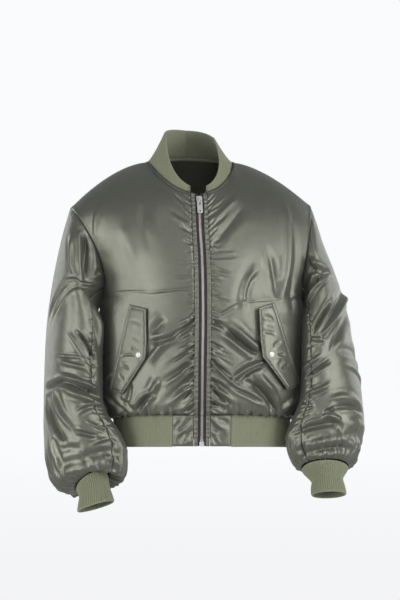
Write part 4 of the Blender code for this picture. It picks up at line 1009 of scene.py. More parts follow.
# ------------------------------------------------------------------ the sleeves
# Each sleeve is two satin pieces, an upper and an under, joined by a puckered seam inside the arm and one
# behind it. They are cut very full, so they stack in folds above the cuff and wrinkle at the elbow.
SLEEVE_GRID = (204, 160)  # rings down it, steps round it
ARMHOLE_STITCH = 0.0045  # from the armhole's edge
FRONT_SEAM_DEGREES, BACK_SEAM_DEGREES = 135, 315
SLEEVE_NAMES = ("v", "out_x", "out_z", "in_x", "in_z", "mid_y", "deep", "front_up", "ahead")
SLEEVE_RINGS = {
    "right": (
        # v     out_x    out_z    in_x     in_z    mid_y   deep   front_up ahead
        (0.10, -0.2700, -0.136, -0.1975, -0.318, -0.026, 0.089, 0.000, 0.006),
        (0.22, -0.2860, -0.196, -0.1985, -0.336, -0.034, 0.092, 0.000, 0.024),
        (0.36, -0.3020, -0.278, -0.1970, -0.364, -0.040, 0.092, 0.004, 0.036),
        (0.50, -0.3125, -0.364, -0.1965, -0.413, -0.044, 0.090, 0.010, 0.038),
        (0.62, -0.3160, -0.450, -0.1960, -0.473, -0.050, 0.087, 0.018, 0.036),
        (0.73, -0.3160, -0.524, -0.1940, -0.530, -0.060, 0.085, 0.026, 0.030),
        (0.83, -0.3140, -0.591, -0.1750, -0.578, -0.072, 0.082, 0.032, 0.022),
        (0.91, -0.3060, -0.650, -0.1530, -0.628, -0.084, 0.076, 0.034, 0.014),
        (0.96, -0.2870, -0.693, -0.1470, -0.675, -0.096, 0.066, 0.032, 0.008),
        (1.00, -0.2425, -0.699, -0.1735, -0.667, -0.100, 0.050, 0.025, 0.000),
    ),
    "left": (
        # v     out_x    out_z    in_x     in_z    mid_y   deep   front_up ahead
        (0.10, 0.2730, -0.130, 0.2410, -0.308, 0.016, 0.089, 0.000, 0.010),
        (0.22, 0.2880, -0.176, 0.2430, -0.328, 0.002, 0.092, 0.000, 0.026),
        (0.36, 0.3130, -0.240, 0.2420, -0.354, -0.014, 0.092, 0.004, 0.042),
        (0.50, 0.3390, -0.320, 0.2405, -0.405, -0.026, 0.090, 0.010, 0.046),
        (0.62, 0.3500, -0.390, 0.2400, -0.470, -0.036, 0.087, 0.018, 0.042),
        (0.73, 0.3620, -0.460, 0.2390, -0.522, -0.048, 0.084, 0.026, 0.034),
        (0.83, 0.3680, -0.524, 0.2310, -0.570, -0.062, 0.080, 0.032, 0.024),
        (0.91, 0.3680, -0.580, 0.2220, -0.612, -0.076, 0.074, 0.034, 0.014),
        (0.96, 0.3550, -0.632, 0.2230, -0.643, -0.088, 0.064, 0.030, 0.006),
        (1.00, 0.3335, -0.653, 0.2325, -0.655, -0.096, 0.048, 0.024, 0.000),
    ),
}
SLEEVE_CREASES = {
    # degrees round it (0 outermost, 90 in front), thousandths of its length down, then mm
    "right": (
        (125, 53, 102, 169, 0, 3, 3), (105, 153, 25, 476, -9, 3, 3), (110, 164, 45, 471, -7, 4, -2.5),
        (52, 11, 112, 95, 4, 9, -10), (130, 90, 150, 471, 0, 8, -7), (50, 79, 85, 185, 0, 9, 4),
        (105, 450, 140, 561, 7, 5.5, -7), (92, 476, 125, 571, 4, 5, 3.5), (65, 582, 115, 561, 0, 2.5, -3.5),
        (72, 598, 125, 598, 0, 5, 3), (32, 693, 80, 672, -2, 5, -7), (78, 672, 152, 698, 2, 6.5, -9),
        (72, 651, 147, 672, 2, 5, 4.5), (88, 709, 155, 741, 0, 6, 4), (40, 709, 72, 889, -9, 6.5, -8),
        (60, 709, 88, 857, -7, 6, 5), (102, 799, 150, 730, 2, 4, 3.5), (90, 862, 120, 884, 0, 4, -4.5),
        (58, 905, 95, 915, 0, 5, -4), (110, 825, 132, 862, 0, 3, -3.5), (105, 905, 135, 878, 0, 3, -3.5),
        (88, 931, 128, 921, 0, 4.5, -4), (52, 937, 98, 937, 2, 5, -4.5), (45, 862, 48, 942, -4, 6, 4),
    ),
    "left": (
        (95, 58, 42, 349, 7, 5, 6), (48, 344, 145, 212, 7, 5, 5), (107, 85, 70, 259, 0, 5, -5),
        (75, 280, 128, 148, 4, 6, -8), (0, 455, 115, 519, 4, 6.5, 7), (72, 418, 128, 471, 4, 7, -7),
        (10, 513, 92, 603, 4, 9, -5), (135, 487, 100, 550, 0, 3, 3.5), (95, 646, 152, 640, 2, 4, -6),
        (112, 593, 162, 598, 2, 5, 4), (60, 704, 5, 772, -2, 3, 2.5), (85, 619, 352, 698, -2, 7, -3.5),
        (110, 857, 90, 847, 0, 4, -5), (92, 847, 20, 873, -2, 4, -5), (112, 847, 72, 910, 0, 4, 5),
        (72, 910, 147, 889, 2, 5, -6), (98, 804, 32, 847, -2, 6, 4), (70, 926, 352, 931, 0, 5, -5),
        (145, 725, 100, 741, 2, 5, 4), (125, 937, 65, 937, 2, 5, 4), (122, 963, 50, 958, 0, 5, -4.5),
        (152, 735, 122, 810, 0, 3.5, -3),
    ),
}


# how far the front inner side of each sleeve is filled out towards the body, down its length
SLEEVE_FILL = {
    "right": (
        (0.12, 0.0), (0.22, 0.009), (0.30, 0.014), (0.38, 0.014), (0.50, 0.011), (0.70, 0.011),
        (0.78, 0.018), (0.84, 0.026),
        (0.90, 0.024), (0.95, 0.009),
        (1.0, 0.0),
    ),
    "left": (
        (0.15, 0.0), (0.25, 0.004), (0.35, 0.006), (0.60, 0.007), (0.72, 0.010), (0.82, 0.024),
        (0.88, 0.028), (0.93, 0.018),
        (1.0, 0.0),
    ),
}
SLEEVE_FILL_DEGREES = (165, 75)  # its middle and half width, round the sleeve


def ring(row, names, angle):
    """A ring's points, from its outermost (0) over the front (pi/2) to its innermost (pi) and round the
    back.
    """
    read = dict(zip(names, row))
    out = np.array([read["out_x"], read["mid_y"] + read["ahead"], read["out_z"]])
    inner = np.array([read["in_x"], read["mid_y"] - read["ahead"], read["in_z"]])
    forward = np.array([0.0, -read["deep"], read["front_up"]])
    angle = np.asarray(angle, float)[:, None]
    return (out + inner) / 2 + (out - inner) / 2 * np.cos(angle) + forward * np.sin(angle)


def sleeve_form(side):
    """The whole sleeve as rings down its length, before its creases."""
    angle = np.linspace(0, 2 * math.pi, SLEEVE_GRID[1] + 1)
    seam = [
        armhole(side, "front", a) if a <= math.pi else armhole(side, "back", 2 * math.pi - a) for a in angle
    ]
    places = np.concatenate([[0], column(SLEEVE_RINGS[side], SLEEVE_NAMES, "v")])
    rings = [stand(np.array(seam), side)] + [ring(row, SLEEVE_NAMES, angle) for row in SLEEVE_RINGS[side]]
    v = np.linspace(0, 1, SLEEVE_GRID[0])
    form = smooth(v, places, np.array(rings))
    swell = np.interp(v, *np.array(SLEEVE_FILL[side]).T)[:, None]
    away = np.abs(np.degrees(angle) - SLEEVE_FILL_DEGREES[0]) / SLEEVE_FILL_DEGREES[1]
    form[..., 0] -= SIDES[side] * swell * eased(1 - away)[None, :]
    return form


def round_creased(rows, degrees, v, girth, long):
    """creased() on a sleeve: its rows are in degrees and shares of the sleeve's length."""
    height = np.zeros(v.shape)
    for a0, b0, a1, b1, bow, reach, tall in rows:
        a1 = a0 + (a1 - a0 + 180) % 360 - 180
        away = (degrees - (a0 + a1) / 2 + 180) % 360 - 180
        half, scale = (a1 - a0) / 2, girth / 360
        here = [
            (-half * float(scale.mean()), b0 * long, half * float(scale.mean()), b1 * long, bow, reach, tall)
        ]
        height += creased(here, away * scale, v * long)
    return height


def sleeve_sheet(side):
    """A sleeve's outer grid with its creases, rings down it, and its places round and down the cloth."""
    form = sleeve_form(side)
    degrees = np.linspace(0, 360, SLEEVE_GRID[1] + 1)[None, :] * np.ones((SLEEVE_GRID[0], 1))
    v = np.linspace(0, 1, SLEEVE_GRID[0])[:, None] * np.ones((1, SLEEVE_GRID[1] + 1))
    girth = walked(form, 1)[:, -1:]
    long = float(walked(form, 0)[-1].mean())
    down = walked(form, 0)
    to_cuff = down[-1] - down
    normal = facing(form)
    normal[:, 0] = normal[:, -1] = normal[:, 0] + normal[:, -1]
    normal /= np.linalg.norm(normal, axis=2, keepdims=True)
    normal *= 1 if side == "left" else -1
    front, turn = thousandths(SLEEVE_CREASES[side], (0, 2)), 1 if side == "left" else 2
    behind = [
        (360 - a, b + 0.02, 360 - c, d + 0.02, -bow, reach * 1.1, tall)
        for a, b, c, d, bow, reach, tall in front
    ]
    sewn = np.minimum(down, to_cuff)
    height = round_creased(front, degrees, v, girth, long) + round_creased(behind, degrees, v, girth, long)
    height *= eased(sewn / 0.016) * CREASE_GAIN * 1.15
    dice = np.random.default_rng(50 + turn)
    puckers = []
    for seam in (FRONT_SEAM_DEGREES, BACK_SEAM_DEGREES):
        at, sign = 0.10, -1
        while at < 0.97:
            at += dice.uniform(0.012, 0.030)
            size = dice.uniform(0.5, 1.3) * (0.5 + 0.9 * at)
            reach, tall = 0.0026 * dice.uniform(0.8, 1.3), sign * 0.0020 * size
            for run in (-1, 1):
                wide = run * dice.uniform(5, 11) * size
                puckers.append((seam, at, seam + wide, at + dice.uniform(-0.012, 0.012), 0.0, reach, tall))
            sign = -sign
    at, sign = 0, -1
    while at < 360:
        at += dice.uniform(3.0, 9.0)
        size, lean = dice.uniform(0.25, 1.7), dice.uniform(-13, 13)
        tall = sign * 0.0021 * size ** 0.5 * dice.uniform(0.6, 1.3)
        puckers.append((at, 1.0, at + lean, 1 - 0.070 * size, dice.uniform(-0.004, 0.004), 0.0034, tall))
        sign = -sign
    at, sign = 0, -1
    while at < 360:
        at += dice.uniform(4, 13)
        size, lean = dice.uniform(0.3, 1.2), dice.uniform(-4, 4)
        puckers.append((at, 0.0, at + lean, 0.05 * size, 0.0, 0.0036, sign * 0.0012 * size))
        sign = -sign
    height += round_creased(puckers, degrees, v, girth, long) * eased(sewn / 0.003)
    for seam in (FRONT_SEAM_DEGREES, BACK_SEAM_DEGREES):
        height += sunk(np.abs(degrees - seam) * girth / 360, 0.0016, 0.0040)
    height += sunk(down, 0.0018) + sunk(to_cuff, 0.0020)
    sheet = form + normal * height[..., None]
    return sheet, degrees / 360 * girth, down, form


for side in SIDES:
    sheet, along, up, form = sleeve_sheet(side)
    step = SLEEVE_GRID[1] / 360
    front_seam, back_seam = round(FRONT_SEAM_DEGREES * step), round(BACK_SEAM_DEGREES * step)
    grids = {"upper": [], "under": []}
    for grid in (sheet, along, up, form):
        turned = grid if side == "left" else grid[::-1]
        grids["upper"].append(np.concatenate([turned[:, back_seam:], turned[:, 1 : front_seam + 1]], axis=1))
        grids["under"].append(turned[:, front_seam : back_seam + 1])
    girth = along[:, -1:] if side == "left" else along[::-1, -1:]
    wrapped = SLEEVE_GRID[1] - back_seam + 1
    grids["upper"][1][:, wrapped:] += girth
    for part, (sheet, along, up, form) in grids.items():
        sheets[f"sleeve_{part}_{side}"] = sheet
        outer, inner = held_back(sheet), held_back(sheet - facing(sheet) * CLOTH, 0.002)
        sleeve = cloth_wall(f"sleeve_{part}_panel_{side}", outer, inner, along, up, satin)
        joins_jacket(sleeve, "olive_satin", f"sleeve_{part}_{side}")
        is_cloth(form)

armhole_stitching = []
for side in SIDES:
    front_start, back_start = (rows[0] / sum(rows) for rows in (FRONT_ROWS_OF_GRID, BACK_ROWS_OF_GRID))
    front_edge, back_edge = ("last", "first") if side == "left" else ("first", "last")
    armhole_stitching.append(
        inset_line(sheets[f"front_{side}"], ARMHOLE_STITCH, front_edge, 0.0, front_start, 0.985)
    )
    armhole_stitching.append(inset_line(sheets["back"], ARMHOLE_STITCH, back_edge, 0.0, back_start, 0.985))
stitches("armhole_stitches", armhole_stitching, 2)

# ------------------------------------------------------------------ the rib knit
# Collar, cuffs and hem band are one by one rib knit, folded double at the free edge and sewn into the shell.
# The ribs are fine soft ridges that run straight up the band, and they open out where the knit is stretched.
KNIT = 0.0030
KNIT_COLOUR = (0.240, 0.256, 0.170)
KNIT_DARK = (0.202, 0.216, 0.143)
LOOP = 0.0016  # height of one knitted loop


def knit_group():
    """Rows of loops up each rib, on the band's own UV in metres, and a soft unevenness of the yarn."""
    group, given, out = node_group(
        "knit_loops", (("Rib", 0.0022), ("Loop", 0.0011)), (
            ("Loops", "NodeSocketFloat"), ("Yarn", "NodeSocketFloat")
        )
    )
    place = group.nodes.new("ShaderNodeTexCoord")
    split = group.nodes.new("ShaderNodeSeparateXYZ")
    group.links.new(place.outputs["UV"], split.inputs[0])
    side = math_node(
        group, "DIVIDE", math_node(group, "MULTIPLY", split.outputs["X"], math.tau), given.outputs["Rib"]
    )
    rise = math_node(
        group, "DIVIDE", math_node(group, "MULTIPLY", split.outputs["Y"], math.tau), given.outputs["Loop"]
    )
    lean = math_node(group, "MULTIPLY", math_node(group, "COSINE", side, 0.0), 1.2)
    group.links.new(math_node(group, "SINE", math_node(group, "ADD", rise, lean), 0.0), out.inputs["Loops"])
    yarn = group.nodes.new("ShaderNodeTexNoise")
    filled_in(yarn, {"Scale": 420.0, "Detail": 2.0})
    group.links.new(place.outputs["Object"], yarn.inputs["Vector"])
    group.links.new(yarn.outputs[0], out.inputs["Yarn"])
    return group


knit = plain_material("sage_rib", KNIT_COLOUR, 0.88)
knit_shader = knit.node_tree.nodes["Principled BSDF"]
filled_in(knit_shader, {"Sheen Weight": 0.35, "Sheen Roughness": 0.5, "Specular IOR Level": 0.25})
knit_looks = knit.node_tree.nodes.new("ShaderNodeGroup")
knit_looks.node_tree = knit_group()
filled_in(knit_looks, {"Rib": 0.0021, "Loop": LOOP})
knit_tones = knit.node_tree.nodes.new("ShaderNodeMix")
knit_tones.data_type = "RGBA"
filled_in(knit_tones, {"A": KNIT_DARK, "B": KNIT_COLOUR})
knit_bump = knit.node_tree.nodes.new("ShaderNodeBump")
filled_in(knit_bump, {"Strength": 0.4, "Distance": 0.0003})
knit.node_tree.links.new(knit_looks.outputs["Yarn"], knit_tones.inputs["Factor"])
knit.node_tree.links.new(knit_tones.outputs["Result"], knit_shader.inputs["Base Color"])
knit.node_tree.links.new(knit_looks.outputs["Loops"], knit_bump.inputs["Height"])
knit.node_tree.links.new(knit_bump.outputs["Normal"], knit_shader.inputs["Normal"])


def rib_tree():
    """Geometry nodes: raises ridges along a band's normals, by its own marks for the place along it and
    the share.
    """
    tree = bpy.data.node_groups.new("rib_ridges", "GeometryNodeTree")
    tree.interface.new_socket("Band", in_out="INPUT", socket_type="NodeSocketGeometry")
    sockets = {}
    for label, kind, value in (
        ("Pitch", "NodeSocketFloat", 0.0022),
        ("Depth", "NodeSocketFloat", 0.0004),
        ("Finish", "NodeSocketMaterial", None),
    ):
        socket = tree.interface.new_socket(label, in_out="INPUT", socket_type=kind)
        if value is not None:
            socket.default_value = value
        sockets[label] = socket.identifier
    tree.interface.new_socket("Ribbed", in_out="OUTPUT", socket_type="NodeSocketGeometry")
    new, link = tree.nodes.new, tree.links.new
    given, out = new("NodeGroupInput"), new("NodeGroupOutput")
    marks = {}
    for key in ("rib_along", "rib_share"):
        mark = new("GeometryNodeInputNamedAttribute")
        mark.data_type = "FLOAT"
        mark.inputs["Name"].default_value = key
        marks[key] = mark.outputs["Attribute"]
    turns = math_node(
        tree, "DIVIDE", math_node(tree, "MULTIPLY", marks["rib_along"], math.tau), given.outputs["Pitch"]
    )
    ridge = math_node(tree, "MULTIPLY", math_node(tree, "COSINE", turns, 0.0), given.outputs["Depth"])
    normal, scaled = new("GeometryNodeInputNormal"), new("ShaderNodeVectorMath")
    moved = new("GeometryNodeSetPosition")
    scaled.operation = "SCALE"
    real, finished = new("GeometryNodeRealizeInstances"), new("GeometryNodeSetMaterial")
    link(normal.outputs["Normal"], scaled.inputs[0])
    link(math_node(tree, "MULTIPLY", ridge, marks["rib_share"]), scaled.inputs["Scale"])
    link(given.outputs["Band"], moved.inputs["Geometry"])
    link(scaled.outputs["Vector"], moved.inputs["Offset"])
    link(moved.outputs["Geometry"], real.inputs["Geometry"])
    link(real.outputs["Geometry"], finished.inputs["Geometry"])
    link(given.outputs["Finish"], finished.inputs["Material"])
    link(finished.outputs["Geometry"], out.inputs["Ribbed"])
    return tree, sockets


rib_ridges, rib_sockets = rib_tree()


def rib_band(name, sheet, along, node, pitch, depth, round_top=False, round_foot=False, tube=False):
    """A band of rib knit from its outer grid: along is the place of each column along the band, in metres."""
    normal = facing(sheet)
    if tube:
        normal[:, 0] = normal[:, -1] = normal[:, 0] + normal[:, -1]
        normal /= np.linalg.norm(normal, axis=2, keepdims=True)
    up = walked(sheet, 0)
    along = np.repeat(along[None], len(sheet), axis=0)
    share = eased(up / 0.002) * eased((up[-1:] - up) / 0.002) * 0.85 + 0.15
    inner = sheet - normal * KNIT
    marks = {"rib_along": along, "rib_share": share}
    base = cloth_wall(name + "_plain", sheet, inner, along, up, knit, tube, round_top, round_foot, marks)
    ribs = base.modifiers.new("ribs", "NODES")
    ribs.node_group = rib_ridges
    ribs[rib_sockets["Pitch"]] = pitch
    ribs[rib_sockets["Depth"]] = depth
    ribs[rib_sockets["Finish"]] = knit
    band = plain_copy(name, base)
    joins_jacket(band, "sage_rib_knit", node)
    is_cloth(sheet)
    return band

# ------------------------------------------------------------------ the hem band
# A band of rib knit, 66 mm tall, round the waist from one satin end to the other.
# It is folded at its lower edge and sewn to the blousing shell above.
HEM_TALL = 0.0665
HEM_DRAW_IN = (0.985, 0.975)
TAB_WIDTH = 0.045
HEM_ROWS = 9
HEM_RIB = 0.0042
POINTS_TO_A_RIB = 5
ROUND_THE_BODY = (
    ("left", "front", False), ("left", "back", True), ("right", "back", False), ("right", "front", True)
)


def hem_row(side, half, shares, w):
    """The hem band from its seam (0) to its lower edge (1)."""
    top = body_row(side, half, shares, 0.0)
    low = top * np.array([*HEM_DRAW_IN, 1.0]) - np.array([0.0, 0.0, HEM_TALL])
    return top + (low - top) * w


def even_columns(rows, pitch):
    """Rows of a band, with their columns set evenly by the length of the last row, and each column's
    place.
    """
    steps = places_along(rows[-1])
    ribs = round(steps[-1] / pitch)
    at = np.linspace(0, steps[-1], ribs * POINTS_TO_A_RIB + 1)
    grid = np.stack([read_at(at, steps, row) for row in rows])
    return grid, np.linspace(0, ribs * pitch, len(at))


def band_rows(count, part):
    """Rows of a band from its foot (1) to its top (0), each round the body from one front to the other."""
    rows = []
    for w in np.linspace(1, 0, count):
        row = []
        for side, half, turned in ROUND_THE_BODY:
            points = stand(part(side, half, w), side)
            row.append((points[::-1] if turned else points)[1 if row else 0 :])
        rows.append(np.concatenate(row))
    return rows


def hem_part(side, half, w):
    """A row of the hem band over one half of a side; at the front it starts behind the tab."""
    start = row_share(side, PLACKET_EDGE + TAB_WIDTH, 0.0) if half == "front" else 0.0
    return hem_row(side, half, np.linspace(start, 1, 60), w)


hem_grid, hem_along = even_columns(band_rows(HEM_ROWS, hem_part), HEM_RIB)
hem_grid = held_back(hem_grid, 0.0005)
pull = np.exp(-((walked(hem_grid, 0)[-1:] - walked(hem_grid, 0)) / 0.016) ** 2)
waves = np.sin(hem_along * 210 + 2 * np.sin(hem_along * 37)) * 0.0009
hem_grid = hem_grid - facing(hem_grid) * (0.0008 - waves[None, :] * pull)[..., None]
rib_band("hem_rib", hem_grid, hem_along, "hem_band", HEM_RIB, 0.0006, round_foot=True)

# ------------------------------------------------------------------ the cuffs
# A tube of the same rib at each wrist, gathered into the full sleeve and turned back at its lower edge.
CUFF_ROWS = 19
CUFF_RIB = 0.0047
CUFF_NAMES = ("w", "out_x", "out_z", "in_x", "in_z", "mid_y", "deep", "front_up", "ahead")
CUFF_RINGS = {
    "right": (
        # w     out_x    out_z    in_x     in_z    mid_y   deep   front_up ahead
        (0.00, -0.2415, -0.699, -0.1745, -0.668, -0.100, 0.048, 0.025, 0.000),
        (0.35, -0.2340, -0.713, -0.1710, -0.692, -0.108, 0.037, 0.018, 0.000),
        (0.70, -0.2350, -0.727, -0.1655, -0.706, -0.117, 0.034, 0.012, 0.000),
        (1.00, -0.2370, -0.742, -0.1600, -0.720, -0.125, 0.036, 0.010, 0.000),
    ),
    "left": (
        # w     out_x    out_z    in_x     in_z    mid_y   deep   front_up ahead
        (0.00, 0.3325, -0.655, 0.2335, -0.657, -0.096, 0.046, 0.024, 0.000),
        (0.35, 0.3200, -0.675, 0.2540, -0.679, -0.104, 0.036, 0.018, 0.000),
        (0.70, 0.3230, -0.691, 0.2530, -0.694, -0.113, 0.034, 0.014, 0.000),
        (1.00, 0.3260, -0.706, 0.2530, -0.708, -0.121, 0.036, 0.012, 0.000),
    ),
}
for side in SIDES:
    angle = np.linspace(0, 2 * math.pi, 721)
    rings = np.array([ring(row, CUFF_NAMES, angle) for row in CUFF_RINGS[side]])
    rings = smooth(np.linspace(0, 1, CUFF_ROWS), column(CUFF_RINGS[side], CUFF_NAMES, "w"), rings)
    grid, along = even_columns(rings, CUFF_RIB)
    grid = held_back(grid if side == "left" else grid[::-1], 0.0005, sides=False)
    grid[:, -1] = grid[:, 0]
    rib_band(
        f"cuff_rib_{side}", grid, along, f"cuff_{side}", CUFF_RIB, 0.0010, side == "left", side == "right",
        tube=True
    )

# ------------------------------------------------------------------ the collar
# A stand-up collar of the same rib, lowest beside the zip and tallest at the sides of the neck.
# It leans in towards the neck and is folded at its upper edge.
COLLAR_ROWS = 15
COLLAR_RIB = 0.0030
COLLAR_HEIGHT = {"left": 0.066, "right": 0.0735}
COLLAR_PIT, COLLAR_NAPE = 0.010, 0.9
COLLAR_LEAN, COLLAR_LEAN_ENDS, COLLAR_GROWTH, COLLAR_CURL = 0.038, 0.45, 2.2, 0.8
COLLAR_GAP = 0.0010


def collar_row(side, half, share, w):
    """The collar at a share of its height above its seam."""
    turn = share * math.pi / 2
    tall = COLLAR_HEIGHT[side]
    if half == "front":
        grow = np.sin(turn) ** COLLAR_GROWTH
        high = COLLAR_PIT + (tall - COLLAR_PIT) * grow
    else:
        grow = COLLAR_NAPE + (1 - COLLAR_NAPE) * np.sin(turn)
        middle = (COLLAR_HEIGHT["left"] + COLLAR_HEIGHT["right"]) / 2
        high = middle * COLLAR_NAPE + (tall - middle * COLLAR_NAPE) * np.sin(turn)
    lean = COLLAR_LEAN * grow * (COLLAR_LEAN_ENDS + (1 - COLLAR_LEAN_ENDS) * np.sin(turn))
    inwards = np.stack(
        [-np.sin(turn), np.cos(turn) * (1 if half == "front" else -1), np.zeros_like(turn)], axis=-1
    )
    rise = np.sqrt(np.maximum(high**2 - lean**2, 1e-6))
    upright = np.stack([np.zeros_like(turn), np.zeros_like(turn), rise], axis=-1)
    return neckline(half, share) + inwards * (lean * w**COLLAR_CURL)[:, None] + upright * w


def collar_part(side, half, w):
    """A row of the collar over one half of a side; at the front it starts at the zip's edge."""
    start = row_share(side, PLACKET_EDGE, 1.0) / NECK_SHARE["front"] if half == "front" else 0.0
    even = np.linspace(0, 1, FINE)
    reach = places_along(neckline(half, even))
    return collar_row(side, half, np.interp(np.linspace(start, 1, 90), reach / reach[-1], even), w)


collar_grid, collar_along = even_columns(band_rows(COLLAR_ROWS, collar_part), COLLAR_RIB)
collar_grid = held_back(collar_grid[::-1], COLLAR_GAP, ends=False)
inwards = collar_grid[:1].mean(axis=1, keepdims=True) - collar_grid[:1]
inwards[..., 2] = 0
inwards /= np.linalg.norm(inwards, axis=2, keepdims=True)
tuck = [
    collar_grid[:1] + inwards * deep - np.array([0, 0, low]) for deep,
    low in ((0.0042, 0.0045), (0.0034, 0.0003))
]
collar_grid = np.concatenate([*tuck, collar_grid])
rib_band("collar_rib", collar_grid, collar_along, "collar", COLLAR_RIB, 0.0004, round_top=True)

# ------------------------------------------------------------------ small satin pieces
# Strips and flaps of the same satin, folded so that their edges are round, and edge-stitched. The strips are
# coloured lighter than the shell's satin: a painted highlight.
SATIN_STRIP_PAINTED_LIGHT = (0.215, 0.222, 0.180)
satin_strip = cloth_material(
    "folded_satin", SATIN_STRIP_PAINTED_LIGHT, SATIN_COLOUR, roughness=0.36, thread=THREAD,
    lump=0.006, depth=0.12, sheen=0.25, metallic=0.55,
)


def folded_piece(name, middle, thick, node, finish=satin, puff=None, edge=0.0016):
    """A small piece with round edges all round, from the grid of its middle, puffed where it isn't
    stitched.
    """
    across, up = walked(middle, 1), walked(middle, 0)
    room = np.minimum(np.minimum(across, across[:, -1:] - across), np.minimum(up, up[-1:] - up))
    round_it = np.sqrt(np.clip(1 - (1 - np.clip(room / edge, 0, 1)) ** 2, 0.02, 1))[..., None]
    normal = facing(middle)
    out = normal * (thick / 2) * round_it
    puffed = 0 if puff is None else normal * puff[..., None]
    made = cloth_wall(name, middle + out + puffed, middle - out, across, up, finish)
    joins_jacket(made, "olive_satin", node)
    is_cloth(middle)
    return made

# ------------------------------------------------------------------ the hem tabs
# The satin ends of the hem band, 45 mm wide on each side of the zip and edge-stitched on three sides.
TAB_COLUMNS, TAB_ROWS = 48, 60
TAB_CREASES = {
    # along from the zip's side, up from the lower edge, in mm
    "left": (
        (0, 60, 22, 30, 4, 4.5, -3.2), (4, 62, 30, 36, 3, 4, 2.2), (6, 26, 16, 4, 2, 3, -3),
        (0, 44, 14, 30, 0, 2.8, -2), (22, 58, 38, 48, 0, 3.5, -2), (18, 52, 36, 22, -4, 6, 1.6),
    ),
    "right": (
        (6, 60, 34, 34, 4, 4.5, -3), (10, 50, 38, 22, 2, 6, 2), (2, 36, 16, 16, 0, 3.4, -2.2),
        (16, 30, 30, 8, -3, 3.4, -2.4), (0, 14, 20, 6, 0, 2.8, 1.6), (28, 52, 40, 40, 0, 3, -2.2),
    ),
}
hem_stitching = []
for side in SIDES:
    grid = []
    for w in np.linspace(1, 0, TAB_ROWS):
        ends = [row_share(side, s, 0.0) for s in (PLACKET_EDGE, PLACKET_EDGE + TAB_WIDTH)]
        grid.append(stand(hem_row(side, "front", np.linspace(*ends, TAB_COLUMNS), w), side))
    middle = np.array(grid)
    along, up = walked(middle, 1), walked(middle, 0)
    puff = creased(thousandths(TAB_CREASES[side]), along, up) + 0.0008
    rim = np.minimum(np.minimum(along[:, -1:] - along, up), up[-1:] - up)
    puff *= eased(np.minimum(rim, along) / 0.004)
    puff -= 0.0005 * np.exp(-(((rim - 0.0035) / 0.0010) ** 2))
    if side == "right":
        middle, puff = middle[:, ::-1], puff[:, ::-1]
    middle = held_back(middle, 0.0004)
    middle = middle - facing(middle) * (CLOTH / 2)
    folded_piece(f"hem_end_{side}", middle, CLOTH, f"hem_tab_{side}", puff=puff)
    skin = middle + facing(middle) * (CLOTH / 2)
    outside = "last" if side == "left" else "first"
    hem_stitching += [inset_line(skin, 0.0035, outside, 0.0), inset_line(skin, 0.0035, "low", 0.0)]
stitches("hem_end_stitches", hem_stitching, 3)

# ------------------------------------------------------------------ the plackets
# A folded strip of satin runs down each side of the zip, over the tape and against the shirred front.
# It is stitched near its outer edge, and the thread draws it up in small puckers.
STRIP = 0.0012
ZIP_GAP = 0.0088
ZIP_TOP_V, ZIP_FOOT_V = 0.995, -0.985
PLACKET_ROWS, PLACKET_COLUMNS = 330, 10


def centre_row(side, apart, v):
    """One row beside the centre line. Below the shell's last row, v runs from 0 to -1 down the hem band."""
    apart = np.asarray(apart, float)
    if v >= 0:
        return body_row(side, "front", row_share(side, apart, v), v)
    return hem_row(side, "front", row_share(side, apart, 0.0), -v)


def zip_line(side, apart, heights, out=0.0):
    """Points beside the centre line, this far apart from it, for each height, moved outwards by out."""
    sheet = stand(np.array([centre_row(side, apart, v) for v in heights]), side)
    sheet = sheet if side == "left" else sheet[:, ::-1]
    return sheet + facing(sheet) * out


def zip_heights(top, count, foot=ZIP_FOOT_V):
    """Heights down the zip in even steps along the cloth."""
    v = np.concatenate([np.linspace(foot, 0, 40)[:-1], np.linspace(0, top, 200)])
    line = np.array([centre_row("left", [0.004], at)[0] for at in v])
    away = places_along(line)
    return np.interp(np.linspace(0, away[-1], count), away, v)


placket_stitching = []
for side in SIDES:
    heights = zip_heights(ZIP_TOP_V, PLACKET_ROWS)
    columns = np.linspace(ZIP_GAP, PLACKET_EDGE - 0.0004, PLACKET_COLUMNS)
    middle = zip_line(side, columns, heights, STRIP / 2)
    along, up = walked(middle, 1), walked(middle, 0)
    dice = np.random.default_rng(70 if side == "left" else 71)
    puckers = []
    at, sign = 0.0, -1
    while at < up.max():
        at += dice.uniform(0.0035, 0.0080)
        puckers.append(
            (0.0, at, 0.009, at + dice.uniform(-0.002, 0.002), 0.0, 0.0017, sign * dice.uniform(3e-4, 9e-4))
        )
        sign = -sign
    puff = creased(puckers, along, up) + 0.0003
    folded_piece(f"zip_strip_{side}", middle, STRIP, f"placket_{side}", satin_strip, puff, edge=0.0009)
    skin = middle + facing(middle) * STRIP / 2
    placket_stitching.append(inset_line(skin, 0.0022, "last" if side == "left" else "first", 0.0003))
    placket_stitching.append(inset_line(skin, 0.0016, "first" if side == "left" else "last", 0.0003))
stitches("zip_strip_stitches", placket_stitching, 4)

# ------------------------------------------------------------------ the neck binding
# A narrow folded strip of satin covers the collar seam all round the neck. It is stitched twice.
BINDING_WIDTH, BINDING_START, BINDING_LIFT = 0.0056, 0.0012, 0.0016
BINDING_COLUMNS = 260


